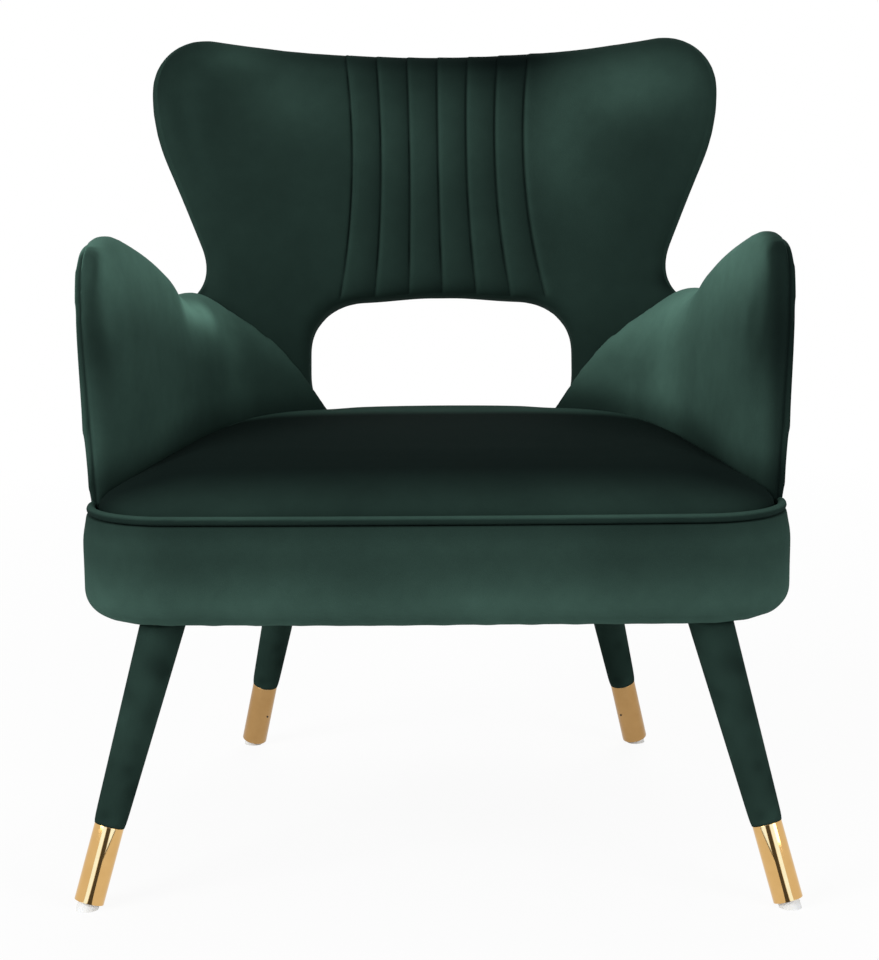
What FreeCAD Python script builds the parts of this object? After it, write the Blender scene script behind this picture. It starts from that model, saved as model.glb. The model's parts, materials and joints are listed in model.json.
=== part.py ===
import FreeCAD, Part
import math
import os
import Sketcher

# Upholstered wingback chair on four splayed legs. Millimetres and degrees.
# The chair faces -Y, +Z is up, the floor is z = 0 and left is -X.
# The origin is on the floor under the middle of the outer box.

V = FreeCAD.Vector
UP = V(0, 0, 1)
RIGHT = V(1, 0, 0)
FAR = 1500
MARGIN = 30
TOLERANCE = 0.01
BLANK = 1
LOFT_DEGREE = 2
FOAM_STEP = 4

# Driving dimensions

SIZES = {
    # seat drum
    "seat_front_offset": 337.4,
    "seat_front_half_width": 356,
    "seat_rear_half_width": 300,
    "seat_depth": 602,
    "seat_front_bow": 8,
    "seat_rear_bow": 50,
    "seat_front_corner": 95,
    "seat_rear_corner": 150,
    "seat_bottom": 273,
    "border_top": 373,
    "border_roll": 26,
    "border_draw_in": 4,
    "lip_width": 46,
    "crown_rise": 56,
    "crown_base": 378,
    "crown_inset": 12.5,
    "crown_centre_depth": 330,
    "piping_diameter": 9,
    # seat frame
    "rail_inset": 7,
    "rail_thickness": 26,
    "rear_rail_thickness": 70,
    "rail_bottom": 275,
    "rail_top": 345,
    "front_rail_depth": 75,
    "rear_rail_depth": 470,
    "block_height": 55,
    "block_length": 260,
    "front_block_reach": 150,
    "rear_block_reach": 590,
    "strap_width": 50,
    "strap_thickness": 1.5,
    "strap_pitch": 86,
    "strap_inset": 25,
    "strap_back_gap": 2,
    "padding_bottom": 300,
    "dust_cover_inset": 31,
    "dust_cover_thickness": 0.7,
    "dust_cover_hole_margin": 1,
    # soft layers
    "cover_thickness": 1.6,
    "clearance": 0.3,
    # back
    "back_depth": 545,
    "back_height": 410,
    "back_recline": 12,
    "back_radius": 700,
    "back_thickness": 56,
    "back_panel_start": 28,
    "back_panel_thickness": 15,
    "back_panel_margin": 4,
    "back_seam": 44,
    "back_front_round": 20,
    "back_rear_round": 9,
    "back_top_middle": 432,
    "back_top_wing": 440,
    "wing_half_width": 330,
    "wing_corner": 66,
    "wing_side_radius": 220,
    "waist_half_width": 270,
    "waist_height": 170,
    "waist_upper_radius": 70,
    "waist_lower_radius": 48,
    "lobe_radius": 26,
    "lobe_centre": 302,
    "foot_half_width": 272,
    "foot_drop": 100,
    "opening_half_width": 158,
    "opening_top": 141,
    "opening_bottom": -18,
    "opening_corner": 66,
    "channel_top_pitch": 37,
    "channel_waist_pitch": 34.7,
    "channel_foot_pitch": 40.3,
    "channel_radius": 4.5,
    # arms
    "arm_tip_height": 641,
    "arm_notch_height": 556,
    "arm_thickness": 50,
    "arm_outer_bulge": 3,
    "arm_inner_bulge": 6,
    "arm_panel_thickness": 15,
    "arm_panel_end_gap": 12,
    "arm_panel_padding": 2,
    "arm_seam": 5,
    "arm_outer_reach": 8,
    # bolts of the back and the arms
    "frame_bolt_diameter": 6,
    "frame_bolt_head": 13,
    "frame_bolt_head_height": 3.5,
    "frame_bolt_grip": 38,
    "frame_bolt_recess": 12,
    "back_bolt_spacing": 150,
    # legs
    "front_foot_half_spacing": 339,
    "rear_foot_half_spacing": 235,
    "front_foot_depth": 0,
    "rear_foot_depth": 565,
    "front_splay": 15.25,
    "rear_splay": 12.7,
    "leg_lean": 12,
    "leg_top": 271.7,
    "leg_top_diameter": 43.5,
    "leg_foot_diameter": 31.2,
    "leg_length": 310,
    "sleeve_thickness": 1.5,
    "ferrule_diameter": 29,
    "ferrule_wall": 1,
    "ferrule_length": 76,
    "ferrule_start": 7,
    "ferrule_edge": 0.6,
    "glide_diameter": 21,
    "glide_stem_diameter": 5,
    "glide_stem_length": 18,
    "hanger_bolt_diameter": 8,
    "hanger_bolt_start": 205,
    "hanger_bolt_end": 322,
    "insert_diameter": 12,
    "insert_start": 294,
    "insert_end": 316,
    "brad_diameter": 2.4,
    "brad_length": 9,
    "brad_height": 45,
    "brad_proud": 0.6,
}

doc = FreeCAD.newDocument("wingback_chair")
sheet = doc.addObject("Spreadsheet::Sheet", "Sizes")
for row, (alias, value) in enumerate(SIZES.items(), start=1):
    sheet.set("A%d" % row, alias)
    sheet.set("B%d" % row, str(value))
    sheet.setAlias("B%d" % row, alias)
doc.recompute()

nodes = []


def size(alias):
    return float(sheet.get(alias))


def node(piece, name):
    piece.Label = name
    nodes.append(piece)
    return piece


def formed(name, shape):
    # A piece with a freely curved form, made of lofts and shells
    piece = doc.addObject("Part::Feature", name)
    piece.Shape = shape
    return node(piece, name)


def largest(shape):
    # The biggest solid of a cut, made again from its shell so that it looks outward
    solid = max(shape.Solids, key=lambda item: abs(item.Volume))
    return Part.makeSolid(solid.Shells[0])


def loft(wires):
    # A smooth solid through the wires; the low degree keeps it from swinging past them
    return Part.makeLoft(wires, True, False, False, LOFT_DEGREE)


def at_depth(depth):
    # The y of a place that is so far behind the front of the seat
    return depth - size("seat_front_offset")


def above(height):
    return Part.makeBox(FAR, FAR, FAR, V(-FAR / 2, -FAR / 2, height))


def between_depths(start, end):
    return Part.makeBox(FAR, end - start, FAR, V(-FAR / 2, at_depth(start), -FAR / 2))


def mirrored(shape):
    return shape.mirror(V(0, 0, 0), RIGHT)


clearance = size("clearance")
cover = size("cover_thickness")
under_cover = cover + clearance

# Outline of the seat in plan


def upright_edges(block):
    return [edge for edge in block.Edges if abs(edge.Vertexes[0].Z - edge.Vertexes[-1].Z) > BLANK / 2]


def seat_outline():
    front = size("seat_front_half_width")
    rear = size("seat_rear_half_width")
    front_y = at_depth(size("seat_front_bow"))
    rear_y = at_depth(size("seat_depth") - size("seat_rear_bow"))
    front_left = V(-front, front_y, 0)
    front_right = V(front, front_y, 0)
    rear_left = V(-rear, rear_y, 0)
    rear_right = V(rear, rear_y, 0)
    edges = [
        Part.Arc(front_left, V(0, at_depth(0), 0), front_right).toShape(),
        Part.makeLine(front_right, rear_right),
        Part.Arc(rear_right, V(0, at_depth(size("seat_depth")), 0), rear_left).toShape(),
        Part.makeLine(rear_left, front_left),
    ]
    block = Part.Face(Part.Wire(edges)).extrude(UP * BLANK)
    front_edges = [edge for edge in upright_edges(block) if edge.Vertexes[0].Y < 0]
    block = block.makeFillet(size("seat_front_corner"), front_edges)
    sharp_edges = [edge for edge in upright_edges(block)
                   if abs(abs(edge.Vertexes[0].X) - rear) < TOLERANCE]
    block = block.makeFillet(size("seat_rear_corner"), sharp_edges)
    floor_faces = [face for face in block.Faces if face.BoundBox.ZMax < TOLERANCE]
    return floor_faces[0].OuterWire


outline = seat_outline()


def plan(inset, height):
    # The seat outline drawn in by the inset, at a height
    wire = outline.copy() if inset == 0 else outline.makeOffset2D(-inset)
    wire.translate(V(0, 0, height))
    return wire


def prism(inset, bottom, top):
    return Part.Face(plan(inset, bottom)).extrude(V(0, 0, top - bottom))


def border_form(side, rise):
    # The drum with its rolled lower edge. Its sides stand in by the first value, its bottom
    # and top stand up by the second.
    roll = size("border_roll")
    bottom = size("seat_bottom") + rise
    top = size("border_top") + rise
    wires = []
    for angle in (90, 60, 30, 0):
        turn = math.radians(angle)
        inset = side + (roll - side) * (1 - math.cos(turn))
        wires.append(plan(inset, bottom + (roll - rise) * (1 - math.sin(turn))))
    middle = (bottom + roll + top) / 2
    wires.append(plan(side, middle))
    wires.append(plan(side + size("border_draw_in"), top))
    return loft(wires)


CROWN_RINGS = (1.0, 0.97, 0.9, 0.75, 0.5, 0.25)
CROWN_FULLNESS = 4
CROWN_SHOULDER = 0.5


def seat_crown(inset):
    # The domed top of the seat: scaled outlines on a rising curve, full in the middle and
    # with a soft shoulder at the rim
    base = size("crown_base") - inset
    rise = size("crown_rise")
    centre = V(0, at_depth(size("crown_centre_depth")), 0)
    half_width = size("seat_front_half_width")
    wires = []
    for share in CROWN_RINGS:
        height = base + rise * (1 - share ** CROWN_FULLNESS) ** CROWN_SHOULDER
        wire = outline.makeOffset2D(-size("crown_inset"))
        wire.scale(share - inset / half_width, centre)
        wire.translate(V(0, 0, height))
        wires.append(wire)
    return loft(wires)


# The back, drawn upright around its own point and then laid back: in its own frame x is
# across, y is from the front face to the rear, z is up along the back.

back_place = FreeCAD.Placement(
    V(0, at_depth(size("back_depth")), size("back_height")),
    FreeCAD.Rotation(RIGHT, -size("back_recline")))
back_radius = size("back_radius")


def laid_back(shape):
    moved = shape.copy()
    moved.Placement = back_place.multiply(moved.Placement)
    return moved


def drum_of_back(depth):
    # All the space in front of the curved face at a depth behind the front face
    return Part.makeCylinder(back_radius + depth, 2 * FAR, V(0, -back_radius, -FAR))


def on_front(u, w):
    return V(u, math.sqrt(back_radius ** 2 - u ** 2) - back_radius, w)


def flat(u, w):
    return V(u, -FAR / 3, w)


def arc_through(centre_u, centre_w, radius, start, end):
    points = []
    for angle in (start, (start + end) / 2, end):
        turn = math.radians(angle)
        points.append(flat(centre_u + radius * math.cos(turn), centre_w + radius * math.sin(turn)))
    return Part.Arc(*points).toShape()


def end_point(edge):
    return edge.valueAt(edge.LastParameter)


def start_point(edge):
    return edge.valueAt(edge.FirstParameter)


def back_outline():
    # Half the hourglass from the top of the wing to the foot, then its mirror
    corner = size("wing_corner")
    wing = size("wing_half_width")
    corner_w = size("back_top_wing") - corner
    side = size("wing_side_radius")
    waist = size("waist_half_width")
    waist_w = size("waist_height")
    upper = size("waist_upper_radius")
    lower = size("waist_lower_radius")
    lobe = size("lobe_radius")
    foot = flat(size("foot_half_width"), -size("foot_drop"))

    # straight stretch that touches the wing's side arc and the waist's upper arc
    across = waist + upper - (wing - side)
    down = corner_w - waist_w
    lean = math.asin((side + upper) / math.hypot(across, down))
    slope = math.degrees(math.atan2(down, across) + lean) - 90

    # lobe circle that touches the waist's lower arc from below
    lobe_u = size("lobe_centre")
    waist_u = waist + lower
    lobe_w = waist_w - math.sqrt((lower + lobe) ** 2 - (waist_u - lobe_u) ** 2)
    meeting = math.degrees(math.atan2(lobe_w - waist_w, lobe_u - waist_u))

    # straight side from the lobe down to the foot
    reach_u = lobe_u - foot.x
    reach_w = lobe_w - foot.z
    spread = math.asin(lobe / math.hypot(reach_u, reach_w))
    foot_angle = math.degrees(math.atan2(reach_w, reach_u) - spread) - 90

    top = Part.Arc(flat(corner - wing, size("back_top_wing")),
                   flat(0, size("back_top_middle")),
                   flat(wing - corner, size("back_top_wing"))).toShape()
    wing_corner = arc_through(wing - corner, corner_w, corner, 90, 0)
    wing_side = arc_through(wing - side, corner_w, side, 0, -slope)
    waist_upper = arc_through(waist + upper, waist_w, upper, 180 - slope, 180)
    waist_lower = arc_through(waist_u, waist_w, lower, 180, 360 + meeting)
    lobe_arc = arc_through(lobe_u, lobe_w, lobe, 180 + meeting, foot_angle)
    half = [
        wing_corner,
        wing_side,
        Part.makeLine(end_point(wing_side), start_point(waist_upper)),
        waist_upper,
        waist_lower,
        lobe_arc,
        Part.makeLine(end_point(lobe_arc), foot),
    ]
    other = [mirrored(edge) for edge in half]
    base = Part.makeLine(foot, flat(-foot.x, foot.z))
    return Part.Wire(Part.__sortEdges__([top, base] + half + other))


def opening_outline():
    half = size("opening_half_width")
    top = size("opening_top")
    bottom = size("opening_bottom")
    block = Part.makeBox(2 * half, BLANK, top - bottom, V(-half, -FAR / 3, bottom))
    corners = [edge for edge in block.Edges if edge.BoundBox.YLength > BLANK / 2]
    block = block.makeFillet(size("opening_corner"), corners)
    near = [face for face in block.Faces if face.BoundBox.YMax < TOLERANCE - FAR / 3]
    return near[0].OuterWire


back_wire = back_outline()
opening_wire = opening_outline()


def board(start, end, inset):
    # The curved board between two depths behind the front face, drawn in by the inset
    outer = back_wire if inset == 0 else back_wire.makeOffset2D(-inset)
    inner = opening_wire if inset == 0 else opening_wire.makeOffset2D(inset)
    block = Part.Face(outer).extrude(V(0, FAR / 2, 0))
    block = block.cut(Part.Face(inner).extrude(V(0, FAR / 2, 0)))
    return block.common(drum_of_back(end)).cut(drum_of_back(start))


def front_board(start, end, inset, edge_round):
    # A board with rounded front edges, rounded while it is thick and then thinned
    thick = board(start, 2 * size("back_thickness"), inset)
    thick = thick.makeFillet(edge_round, curved_face(thick, back_radius + start).Edges)
    return thick.common(drum_of_back(end))


def rear_board(start, end, inset, edge_round):
    # A board with rounded rear edges
    thick = board(-size("back_thickness"), end, inset)
    thick = thick.makeFillet(edge_round, curved_face(thick, back_radius + end).Edges)
    return thick.cut(drum_of_back(start))


def curved_face(wall, radius):
    found = [face for face in wall.Faces
             if isinstance(face.Surface, Part.Cylinder)
             and abs(face.Surface.Radius - radius) < TOLERANCE
             and abs(face.Surface.Axis.z) > 1 - TOLERANCE]
    return max(found, key=lambda face: face.Area)


CHANNEL_TOP_OVERRUN = 30
CHANNEL_FOOT_OVERRUN = 20
OUTER_CHANNEL = 3


def channel(step, radius):
    # A round bar along one stitched line, from over the top edge down to the opening
    top = size("back_top_wing") + CHANNEL_TOP_OVERRUN
    foot = size("opening_top") - CHANNEL_FOOT_OVERRUN
    waist = (top + foot) / 2
    start = on_front(step * size("channel_top_pitch"), top)
    middle = on_front(step * size("channel_waist_pitch"), waist)
    end = on_front(step * size("channel_foot_pitch"), foot)
    if step == 0:
        return Part.makeCylinder(radius, top - foot, end)
    path = Part.Arc(start, middle, end).toShape()
    rim = Part.makeCircle(radius, start, path.tangentAt(path.FirstParameter))
    return Part.Wire(path).makePipeShell([Part.Wire(rim)], True, False)


def channelled(wall, inset):
    steps = range(-OUTER_CHANNEL, OUTER_CHANNEL + 1)
    return wall.cut([channel(step, size("channel_radius") + inset) for step in steps])


front_round = size("back_front_round")
rear_round = size("back_rear_round")
seam = size("back_seam")
thickness = size("back_thickness")
panel_start = size("back_panel_start")
panel_end = panel_start + size("back_panel_thickness")
seat_line = size("border_top") + clearance
rail_line = size("rail_top") + clearance

front_skin = channelled(front_board(0, seam - clearance, 0, front_round), 0)
front_core = front_board(cover, thickness, cover, front_round - cover)
front_skin = front_skin.cut(channelled(front_core, cover))
formed("back_front_cover", largest(laid_back(front_skin).common(above(seat_line))))

front_foam = front_board(under_cover, panel_start - clearance, under_cover,
                         front_round - under_cover)
front_foam = channelled(front_foam, under_cover)
formed("back_front_foam", largest(laid_back(front_foam).common(above(seat_line))))

rear_foam = rear_board(panel_end + clearance, thickness - under_cover, under_cover,
                       rear_round - under_cover)
formed("back_rear_foam", largest(laid_back(rear_foam).common(above(seat_line))))

rear_skin = rear_board(seam, thickness, 0, rear_round)
rear_skin = rear_skin.cut(rear_board(panel_start, thickness - cover, cover, rear_round - cover))
formed("back_rear_cover", largest(laid_back(rear_skin).common(above(seat_line))))

# Bolts that hold the back panel and the arm panels down on the rails


def bolt_of(point, direction, drop):
    # A bolt through a point on the rail's top, with its head in the rail
    radius = size("frame_bolt_diameter") / 2
    grip = size("frame_bolt_grip")
    head = size("frame_bolt_head_height")
    start = point - direction * drop
    shank = Part.makeCylinder(radius, drop + grip, start, direction)
    return shank.fuse(Part.makeCylinder(size("frame_bolt_head") / 2, head, start - direction * head,
                                        direction))


def bolt_way(point, direction, drop):
    # The clear way for a bolt and its head
    radius = size("frame_bolt_diameter") / 2 + clearance
    grip = size("frame_bolt_grip") + clearance
    start = point - direction * drop
    shank = Part.makeCylinder(radius, drop + grip, start, direction)
    head = size("frame_bolt_head") / 2 + clearance
    return shank.fuse(Part.makeCylinder(head, FAR / 10, start - direction * (FAR / 10), direction))


bolt_drop = size("rail_top") - size("rail_bottom") - size("frame_bolt_recess")

# The back panel stands on the rear rail
panel_middle = (panel_start + panel_end) / 2
back_up = back_place.Rotation.multVec(UP)
back_bolt_points = []
for step in (-1, 0, 1):
    turn = step * size("back_bolt_spacing") / back_radius
    radius = back_radius + panel_middle
    spot = back_place.multVec(V(radius * math.sin(turn), radius * math.cos(turn) - back_radius, 0))
    back_bolt_points.append(spot + back_up * ((rail_line - spot.z) / back_up.z))

panel_inset = under_cover + size("back_panel_margin")
back_panel = laid_back(board(panel_start, panel_end, panel_inset))
back_panel = back_panel.common(above(rail_line))
outside_drum = above(rail_line).cut(above(seat_line)).cut(prism(2 * under_cover, 0, FAR))
back_panel = back_panel.cut(outside_drum)
back_panel = back_panel.cut([bolt_way(point, back_up, bolt_drop) for point in back_bolt_points])
formed("back_panel", largest(back_panel))
back_bolts = [bolt_of(point, back_up, bolt_drop) for point in back_bolt_points]
formed("back_bolts", Part.makeCompound(back_bolts))

# The arms: sections across the arm from its nose to the back, then along the collar that
# lies on the back's face, made for the right arm.
# Each has its share of the seat depth, its inset from the seat side, the turn of the section,
# its shares of the arm thickness at the top and at the foot, its outward lean, and its share of
# the rise from notch to tip.

ARM_SECTIONS = (
    (0.173, 6.5, 0, 0.16, 0.16, 3, -0.12),
    (0.186, 6.0, 0, 0.36, 0.36, 3, 0.50),
    (0.213, 6.0, 2, 0.52, 0.52, 3, 0.86),
    (0.282, 6.0, 4, 0.64, 0.64, 3, 1.00),
    (0.432, 6.0, 6, 0.76, 0.76, 3, 0.80),
    (0.648, 7.0, 14, 1.05, 0.96, 5, 0.34),
    (0.844, 40.0, 38, 1.70, 1.10, 17, 0.02),
    (0.879, 80.0, 72, 1.12, 1.12, 12, -0.38),
    (0.879, 150.0, 79, 0.70, 0.70, 12, -1.28),
    (0.879, 174.0, 81, 0.55, 0.55, 12, -1.69),
)
PANEL_START = 2
PANEL_END = 6
FRONT_BOLT_SECTION = 3
REAR_BOLT_SECTION = 5


class ArmSection:
    def __init__(self, row, nose_shift):
        depth_share, inset, turn, top_share, foot_share, lean, rise_share = row
        depth = depth_share * size("seat_depth") + nose_shift
        front = size("seat_front_half_width")
        rear = size("seat_rear_half_width")
        run = size("seat_depth") - size("seat_rear_bow") - size("seat_front_bow")
        side = front + (rear - front) * (depth - size("seat_front_bow")) / run
        outward = math.radians(turn)
        self.outward = V(math.cos(outward), math.sin(outward), 0)
        self.foot = V(side - inset, at_depth(depth), rail_line)
        self.thickness = top_share * size("arm_thickness")
        self.foot_thickness = foot_share * size("arm_thickness")
        self.lean = math.tan(math.radians(lean))
        notch = size("arm_notch_height")
        top = notch + rise_share * (size("arm_tip_height") - notch)
        self.height = top - rail_line
        self.up = (UP + self.outward * self.lean).normalize()

    def point(self, inward, height):
        return self.foot + UP * height + self.outward * (height * self.lean - inward)

    def rounded(self, inset):
        # The section with bulged sides and a round top
        radius = self.thickness / 2 - inset
        top = self.height - inset
        shoulder = top - radius
        outer = inset
        inner = self.thickness - inset
        foot_inner = self.foot_thickness - inset
        half = shoulder / 2
        diagonal = radius * math.sqrt(0.5)
        middle = self.thickness / 2
        lower_outer = self.point(outer, 0)
        upper_outer = self.point(outer, shoulder)
        crest = self.point(middle, top)
        upper_inner = self.point(inner, shoulder)
        lower_inner = self.point(foot_inner, 0)
        outer_belly = self.point(outer - size("arm_outer_bulge"), half)
        inner_belly = self.point((inner + foot_inner) / 2 + size("arm_inner_bulge"), half)
        outer_bend = self.point(middle - diagonal, shoulder + diagonal)
        inner_bend = self.point(middle + diagonal, shoulder + diagonal)
        return Part.Wire([
            Part.makeLine(lower_inner, lower_outer),
            Part.Arc(lower_outer, outer_belly, upper_outer).toShape(),
            Part.Arc(upper_outer, outer_bend, crest).toShape(),
            Part.Arc(crest, inner_bend, upper_inner).toShape(),
            Part.Arc(upper_inner, inner_belly, lower_inner).toShape(),
        ])

    def plank(self, near, far, rise):
        # A flat-sided section between two depths, up to where the round top begins
        top = self.height - self.thickness / 2 + rise
        corners = [self.point(near, 0), self.point(near, top),
                   self.point(far, top), self.point(far, 0)]
        return Part.makePolygon(corners + corners[:1])

    def slice(self, depth):
        # From outside the arm to a depth under its outer face
        top = self.height + 2 * MARGIN
        corners = [self.point(-MARGIN, -MARGIN), self.point(-MARGIN, top),
                   self.point(depth, top), self.point(depth, -MARGIN)]
        return Part.makePolygon(corners + corners[:1])


def arm_sections(inset):
    shifts = [inset] + [0] * (len(ARM_SECTIONS) - 1)
    return [ArmSection(row, shift) for row, shift in zip(ARM_SECTIONS, shifts)]


def arm_form(inset):
    return loft([section.rounded(inset) for section in arm_sections(inset)])


def arm_outside(depth):
    # Everything from outside the arm to a depth under its outer face, past the nose too
    return loft([section.slice(depth) for section in arm_sections(-size("arm_outer_reach"))])


def arm_plank(near, far, room):
    # The bent panel inside the arm, or with some room the space that it takes
    sections = [ArmSection(ARM_SECTIONS[PANEL_START], -room)]
    sections += [ArmSection(row, 0) for row in ARM_SECTIONS[PANEL_START + 1:PANEL_END + 1]]
    return loft([section.plank(near, far + room, room) for section in sections])


before_back = laid_back(drum_of_back(-clearance))
arm_room = arm_form(-clearance)
arm_rooms = [arm_room, mirrored(arm_room)]
arm_panel_near = under_cover + size("arm_panel_padding")
arm_panel_far = arm_panel_near + size("arm_panel_thickness")


def arm_pieces(side, turn_over):
    seam_depth = size("arm_seam")
    core = arm_form(under_cover).common(laid_back(drum_of_back(-clearance - under_cover)))
    hollow = arm_form(cover).common(laid_back(drum_of_back(-clearance - cover)))
    skin = arm_form(0).common(before_back).cut(hollow).common(above(seat_line))
    panel = arm_plank(arm_panel_near, arm_panel_far, 0).cut(outside_drum)
    panel = panel.common(laid_back(drum_of_back(-size("arm_panel_end_gap"))))
    foam = core.cut(arm_plank(-MARGIN, arm_panel_far, clearance)).common(above(seat_line))
    outer = skin.common(arm_outside(seam_depth))
    inner = skin.cut(arm_outside(seam_depth + clearance))
    panel = panel.cut([bolt_way(point, up, bolt_drop) for point, up in arm_bolt_lines()])
    for name, shape in (("panel", panel), ("foam", foam),
                        ("inner_cover", inner), ("outer_cover", outer)):
        formed("%s_arm_%s" % (side, name), turn_over(largest(shape)))


def arm_bolt_lines():
    depth = (arm_panel_near + arm_panel_far) / 2
    lines = []
    for index in (FRONT_BOLT_SECTION, REAR_BOLT_SECTION):
        section = ArmSection(ARM_SECTIONS[index], 0)
        lines.append((section.point(depth, 0), section.up))
    return lines


def as_made(shape):
    return shape


arm_pieces("right", as_made)
arm_pieces("left", mirrored)
right_bolts = [bolt_of(point, up, bolt_drop) for point, up in arm_bolt_lines()]
formed("arm_bolts", Part.makeCompound(right_bolts + [mirrored(bolt) for bolt in right_bolts]))

# Seat frame: a ring of four curved rails under the arms and the back

rail_inset = size("rail_inset")
rail_inner = rail_inset + size("rail_thickness")
rear_inner = rail_inset + size("rear_rail_thickness")
ring = prism(rail_inset, size("rail_bottom"), size("rail_top"))
ring = ring.common(border_form(rail_inset, size("rail_bottom") - size("seat_bottom")))
bolt_ways = [bolt_way(point, back_up, bolt_drop) for point in back_bolt_points]
for point, up in arm_bolt_lines():
    right_way = bolt_way(point, up, bolt_drop)
    bolt_ways += [right_way, mirrored(right_way)]
ring = ring.cut(bolt_ways)
front_end = size("front_rail_depth")
rear_end = size("rear_rail_depth")
well = prism(rail_inner, 0, FAR)
side_rails = ring.cut(well).common(between_depths(front_end, rear_end))
left_rail, right_rail = sorted(side_rails.Solids, key=lambda solid: solid.CenterOfMass.x)
formed("front_rail", largest(ring.cut(well).common(between_depths(-FAR, front_end))))
formed("left_rail", left_rail)
formed("right_rail", right_rail)
rear_well = well.common(between_depths(0, size("seat_depth") - rear_inner))
formed("rear_rail", largest(ring.cut(rear_well).common(between_depths(rear_end, FAR))))

# Legs: turned pieces on the splayed axis of each leg, heights measured along that axis


def origin_plane(body, role):
    return [feature for feature in body.Origin.OriginFeatures if feature.Role == role][0]


def turned(name, profile):
    # A solid of revolution about its own z axis; the corners of its half profile are
    # (radius, height) pairs of expressions on the sheet.
    body = doc.addObject("PartDesign::Body", name)
    sketch = body.newObject("Sketcher::SketchObject", name + "_profile")
    sketch.AttachmentSupport = [(origin_plane(body, "XZ_Plane"), "")]
    sketch.MapMode = "FlatFace"
    count = len(profile)
    corners = []
    for index in range(count):
        turn = 2 * math.pi * index / count
        corners.append(V(2 + math.cos(turn), 2 + math.sin(turn), 0) * MARGIN)
    for index in range(count):
        line = Part.LineSegment(corners[index], corners[(index + 1) % count])
        sketch.addGeometry(line, False)
    for index in range(count):
        following = (index + 1) % count
        sketch.addConstraint(Sketcher.Constraint("Coincident", index, 2, following, 1))
    for index, place in enumerate(profile):
        for kind, start, rule in (("DistanceX", corners[index].x, place[0]),
                                  ("DistanceY", corners[index].y, place[1])):
            rank = sketch.addConstraint(Sketcher.Constraint(kind, -1, 1, index, 1, start))
            sketch.setExpression("Constraints[%d]" % rank, rule)
    doc.recompute()
    turning = body.newObject("PartDesign::Revolution", name + "_turning")
    turning.Profile = sketch
    turning.ReferenceAxis = (sketch, ["V_Axis"])
    turning.Angle = 360
    doc.recompute()
    return body


def joined_feature(kind, name, base, tool):
    feature = doc.addObject(kind, name)
    feature.Base = base
    feature.Tool = tool
    return feature


def group(name, pieces):
    bundle = doc.addObject("Part::Compound", name)
    bundle.Links = pieces
    return node(bundle, name)


leg_zone = doc.addObject("Part::Box", "leg_zone")
leg_zone.setExpression("Length", "4 * Sizes.seat_depth")
leg_zone.setExpression("Width", "4 * Sizes.seat_depth")
leg_zone.setExpression("Height", "Sizes.leg_top")
leg_zone.setExpression("Placement.Base.x", "-2 * Sizes.seat_depth")
leg_zone.setExpression("Placement.Base.y", "-2 * Sizes.seat_depth")

SOLE = "Sizes.ferrule_start"
FERRULE_TOP = "Sizes.ferrule_start + Sizes.ferrule_length"
SLEEVE_FOOT = "Sizes.ferrule_start + Sizes.ferrule_length + Sizes.clearance"
LEG_END = "Sizes.leg_length"
FOOT_RADIUS = "Sizes.leg_foot_diameter / 2"
TOP_RADIUS = "Sizes.leg_top_diameter / 2"
CORE_FOOT = FOOT_RADIUS + " - Sizes.sleeve_thickness - Sizes.clearance"
CORE_TOP = TOP_RADIUS + " - Sizes.sleeve_thickness - Sizes.clearance"
TENON = "Sizes.ferrule_diameter / 2 - Sizes.ferrule_wall - Sizes.clearance"
STEM = "Sizes.glide_stem_diameter / 2"
STEM_HOLE = STEM + " + Sizes.clearance"
STEM_TOP = "Sizes.ferrule_start + Sizes.glide_stem_length"
BOLT_RADIUS = "Sizes.hanger_bolt_diameter / 2"
BOLT_HOLE = BOLT_RADIUS + " + Sizes.clearance"
BOLT_FOOT = "Sizes.hanger_bolt_start"
BORE_FOOT = BOLT_FOOT + " - Sizes.clearance"
BOLT_END = "Sizes.hanger_bolt_end"
FERRULE_OUT = "Sizes.ferrule_diameter / 2"
FERRULE_IN = "Sizes.ferrule_diameter / 2 - Sizes.ferrule_wall"
EDGE = "Sizes.ferrule_edge"

CORE_PROFILE = [
    (STEM_HOLE, SOLE), (TENON, SOLE), (TENON, SLEEVE_FOOT), (CORE_FOOT, SLEEVE_FOOT),
    (CORE_TOP, LEG_END), (BOLT_HOLE, LEG_END), (BOLT_HOLE, BORE_FOOT), ("0", BORE_FOOT),
    ("0", STEM_TOP + " + Sizes.clearance"), (STEM_HOLE, STEM_TOP + " + Sizes.clearance"),
]
SLEEVE_PROFILE = [
    (FOOT_RADIUS + " - Sizes.sleeve_thickness", SLEEVE_FOOT), (FOOT_RADIUS, SLEEVE_FOOT),
    (TOP_RADIUS, LEG_END), (TOP_RADIUS + " - Sizes.sleeve_thickness", LEG_END),
]
FERRULE_PROFILE = [
    (FERRULE_IN, SOLE), (FERRULE_OUT + " - " + EDGE, SOLE), (FERRULE_OUT, SOLE + " + " + EDGE),
    (FERRULE_OUT, FERRULE_TOP + " - " + EDGE), (FERRULE_OUT + " - " + EDGE, FERRULE_TOP),
    (FERRULE_IN, FERRULE_TOP),
]
GLIDE_PROFILE = [
    ("0", "-2 * " + SOLE), ("Sizes.glide_diameter / 2", "-2 * " + SOLE),
    ("Sizes.glide_diameter / 2", SOLE), (STEM, SOLE), (STEM, STEM_TOP), ("0", STEM_TOP),
]
BOLT_PROFILE = [("0", BOLT_FOOT), (BOLT_RADIUS, BOLT_FOOT), (BOLT_RADIUS, BOLT_END), ("0", BOLT_END)]
INSERT_PROFILE = [
    (BOLT_HOLE, "Sizes.insert_start"), ("Sizes.insert_diameter / 2", "Sizes.insert_start"),
    ("Sizes.insert_diameter / 2", "Sizes.insert_end"), (BOLT_HOLE, "Sizes.insert_end"),
]


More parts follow.
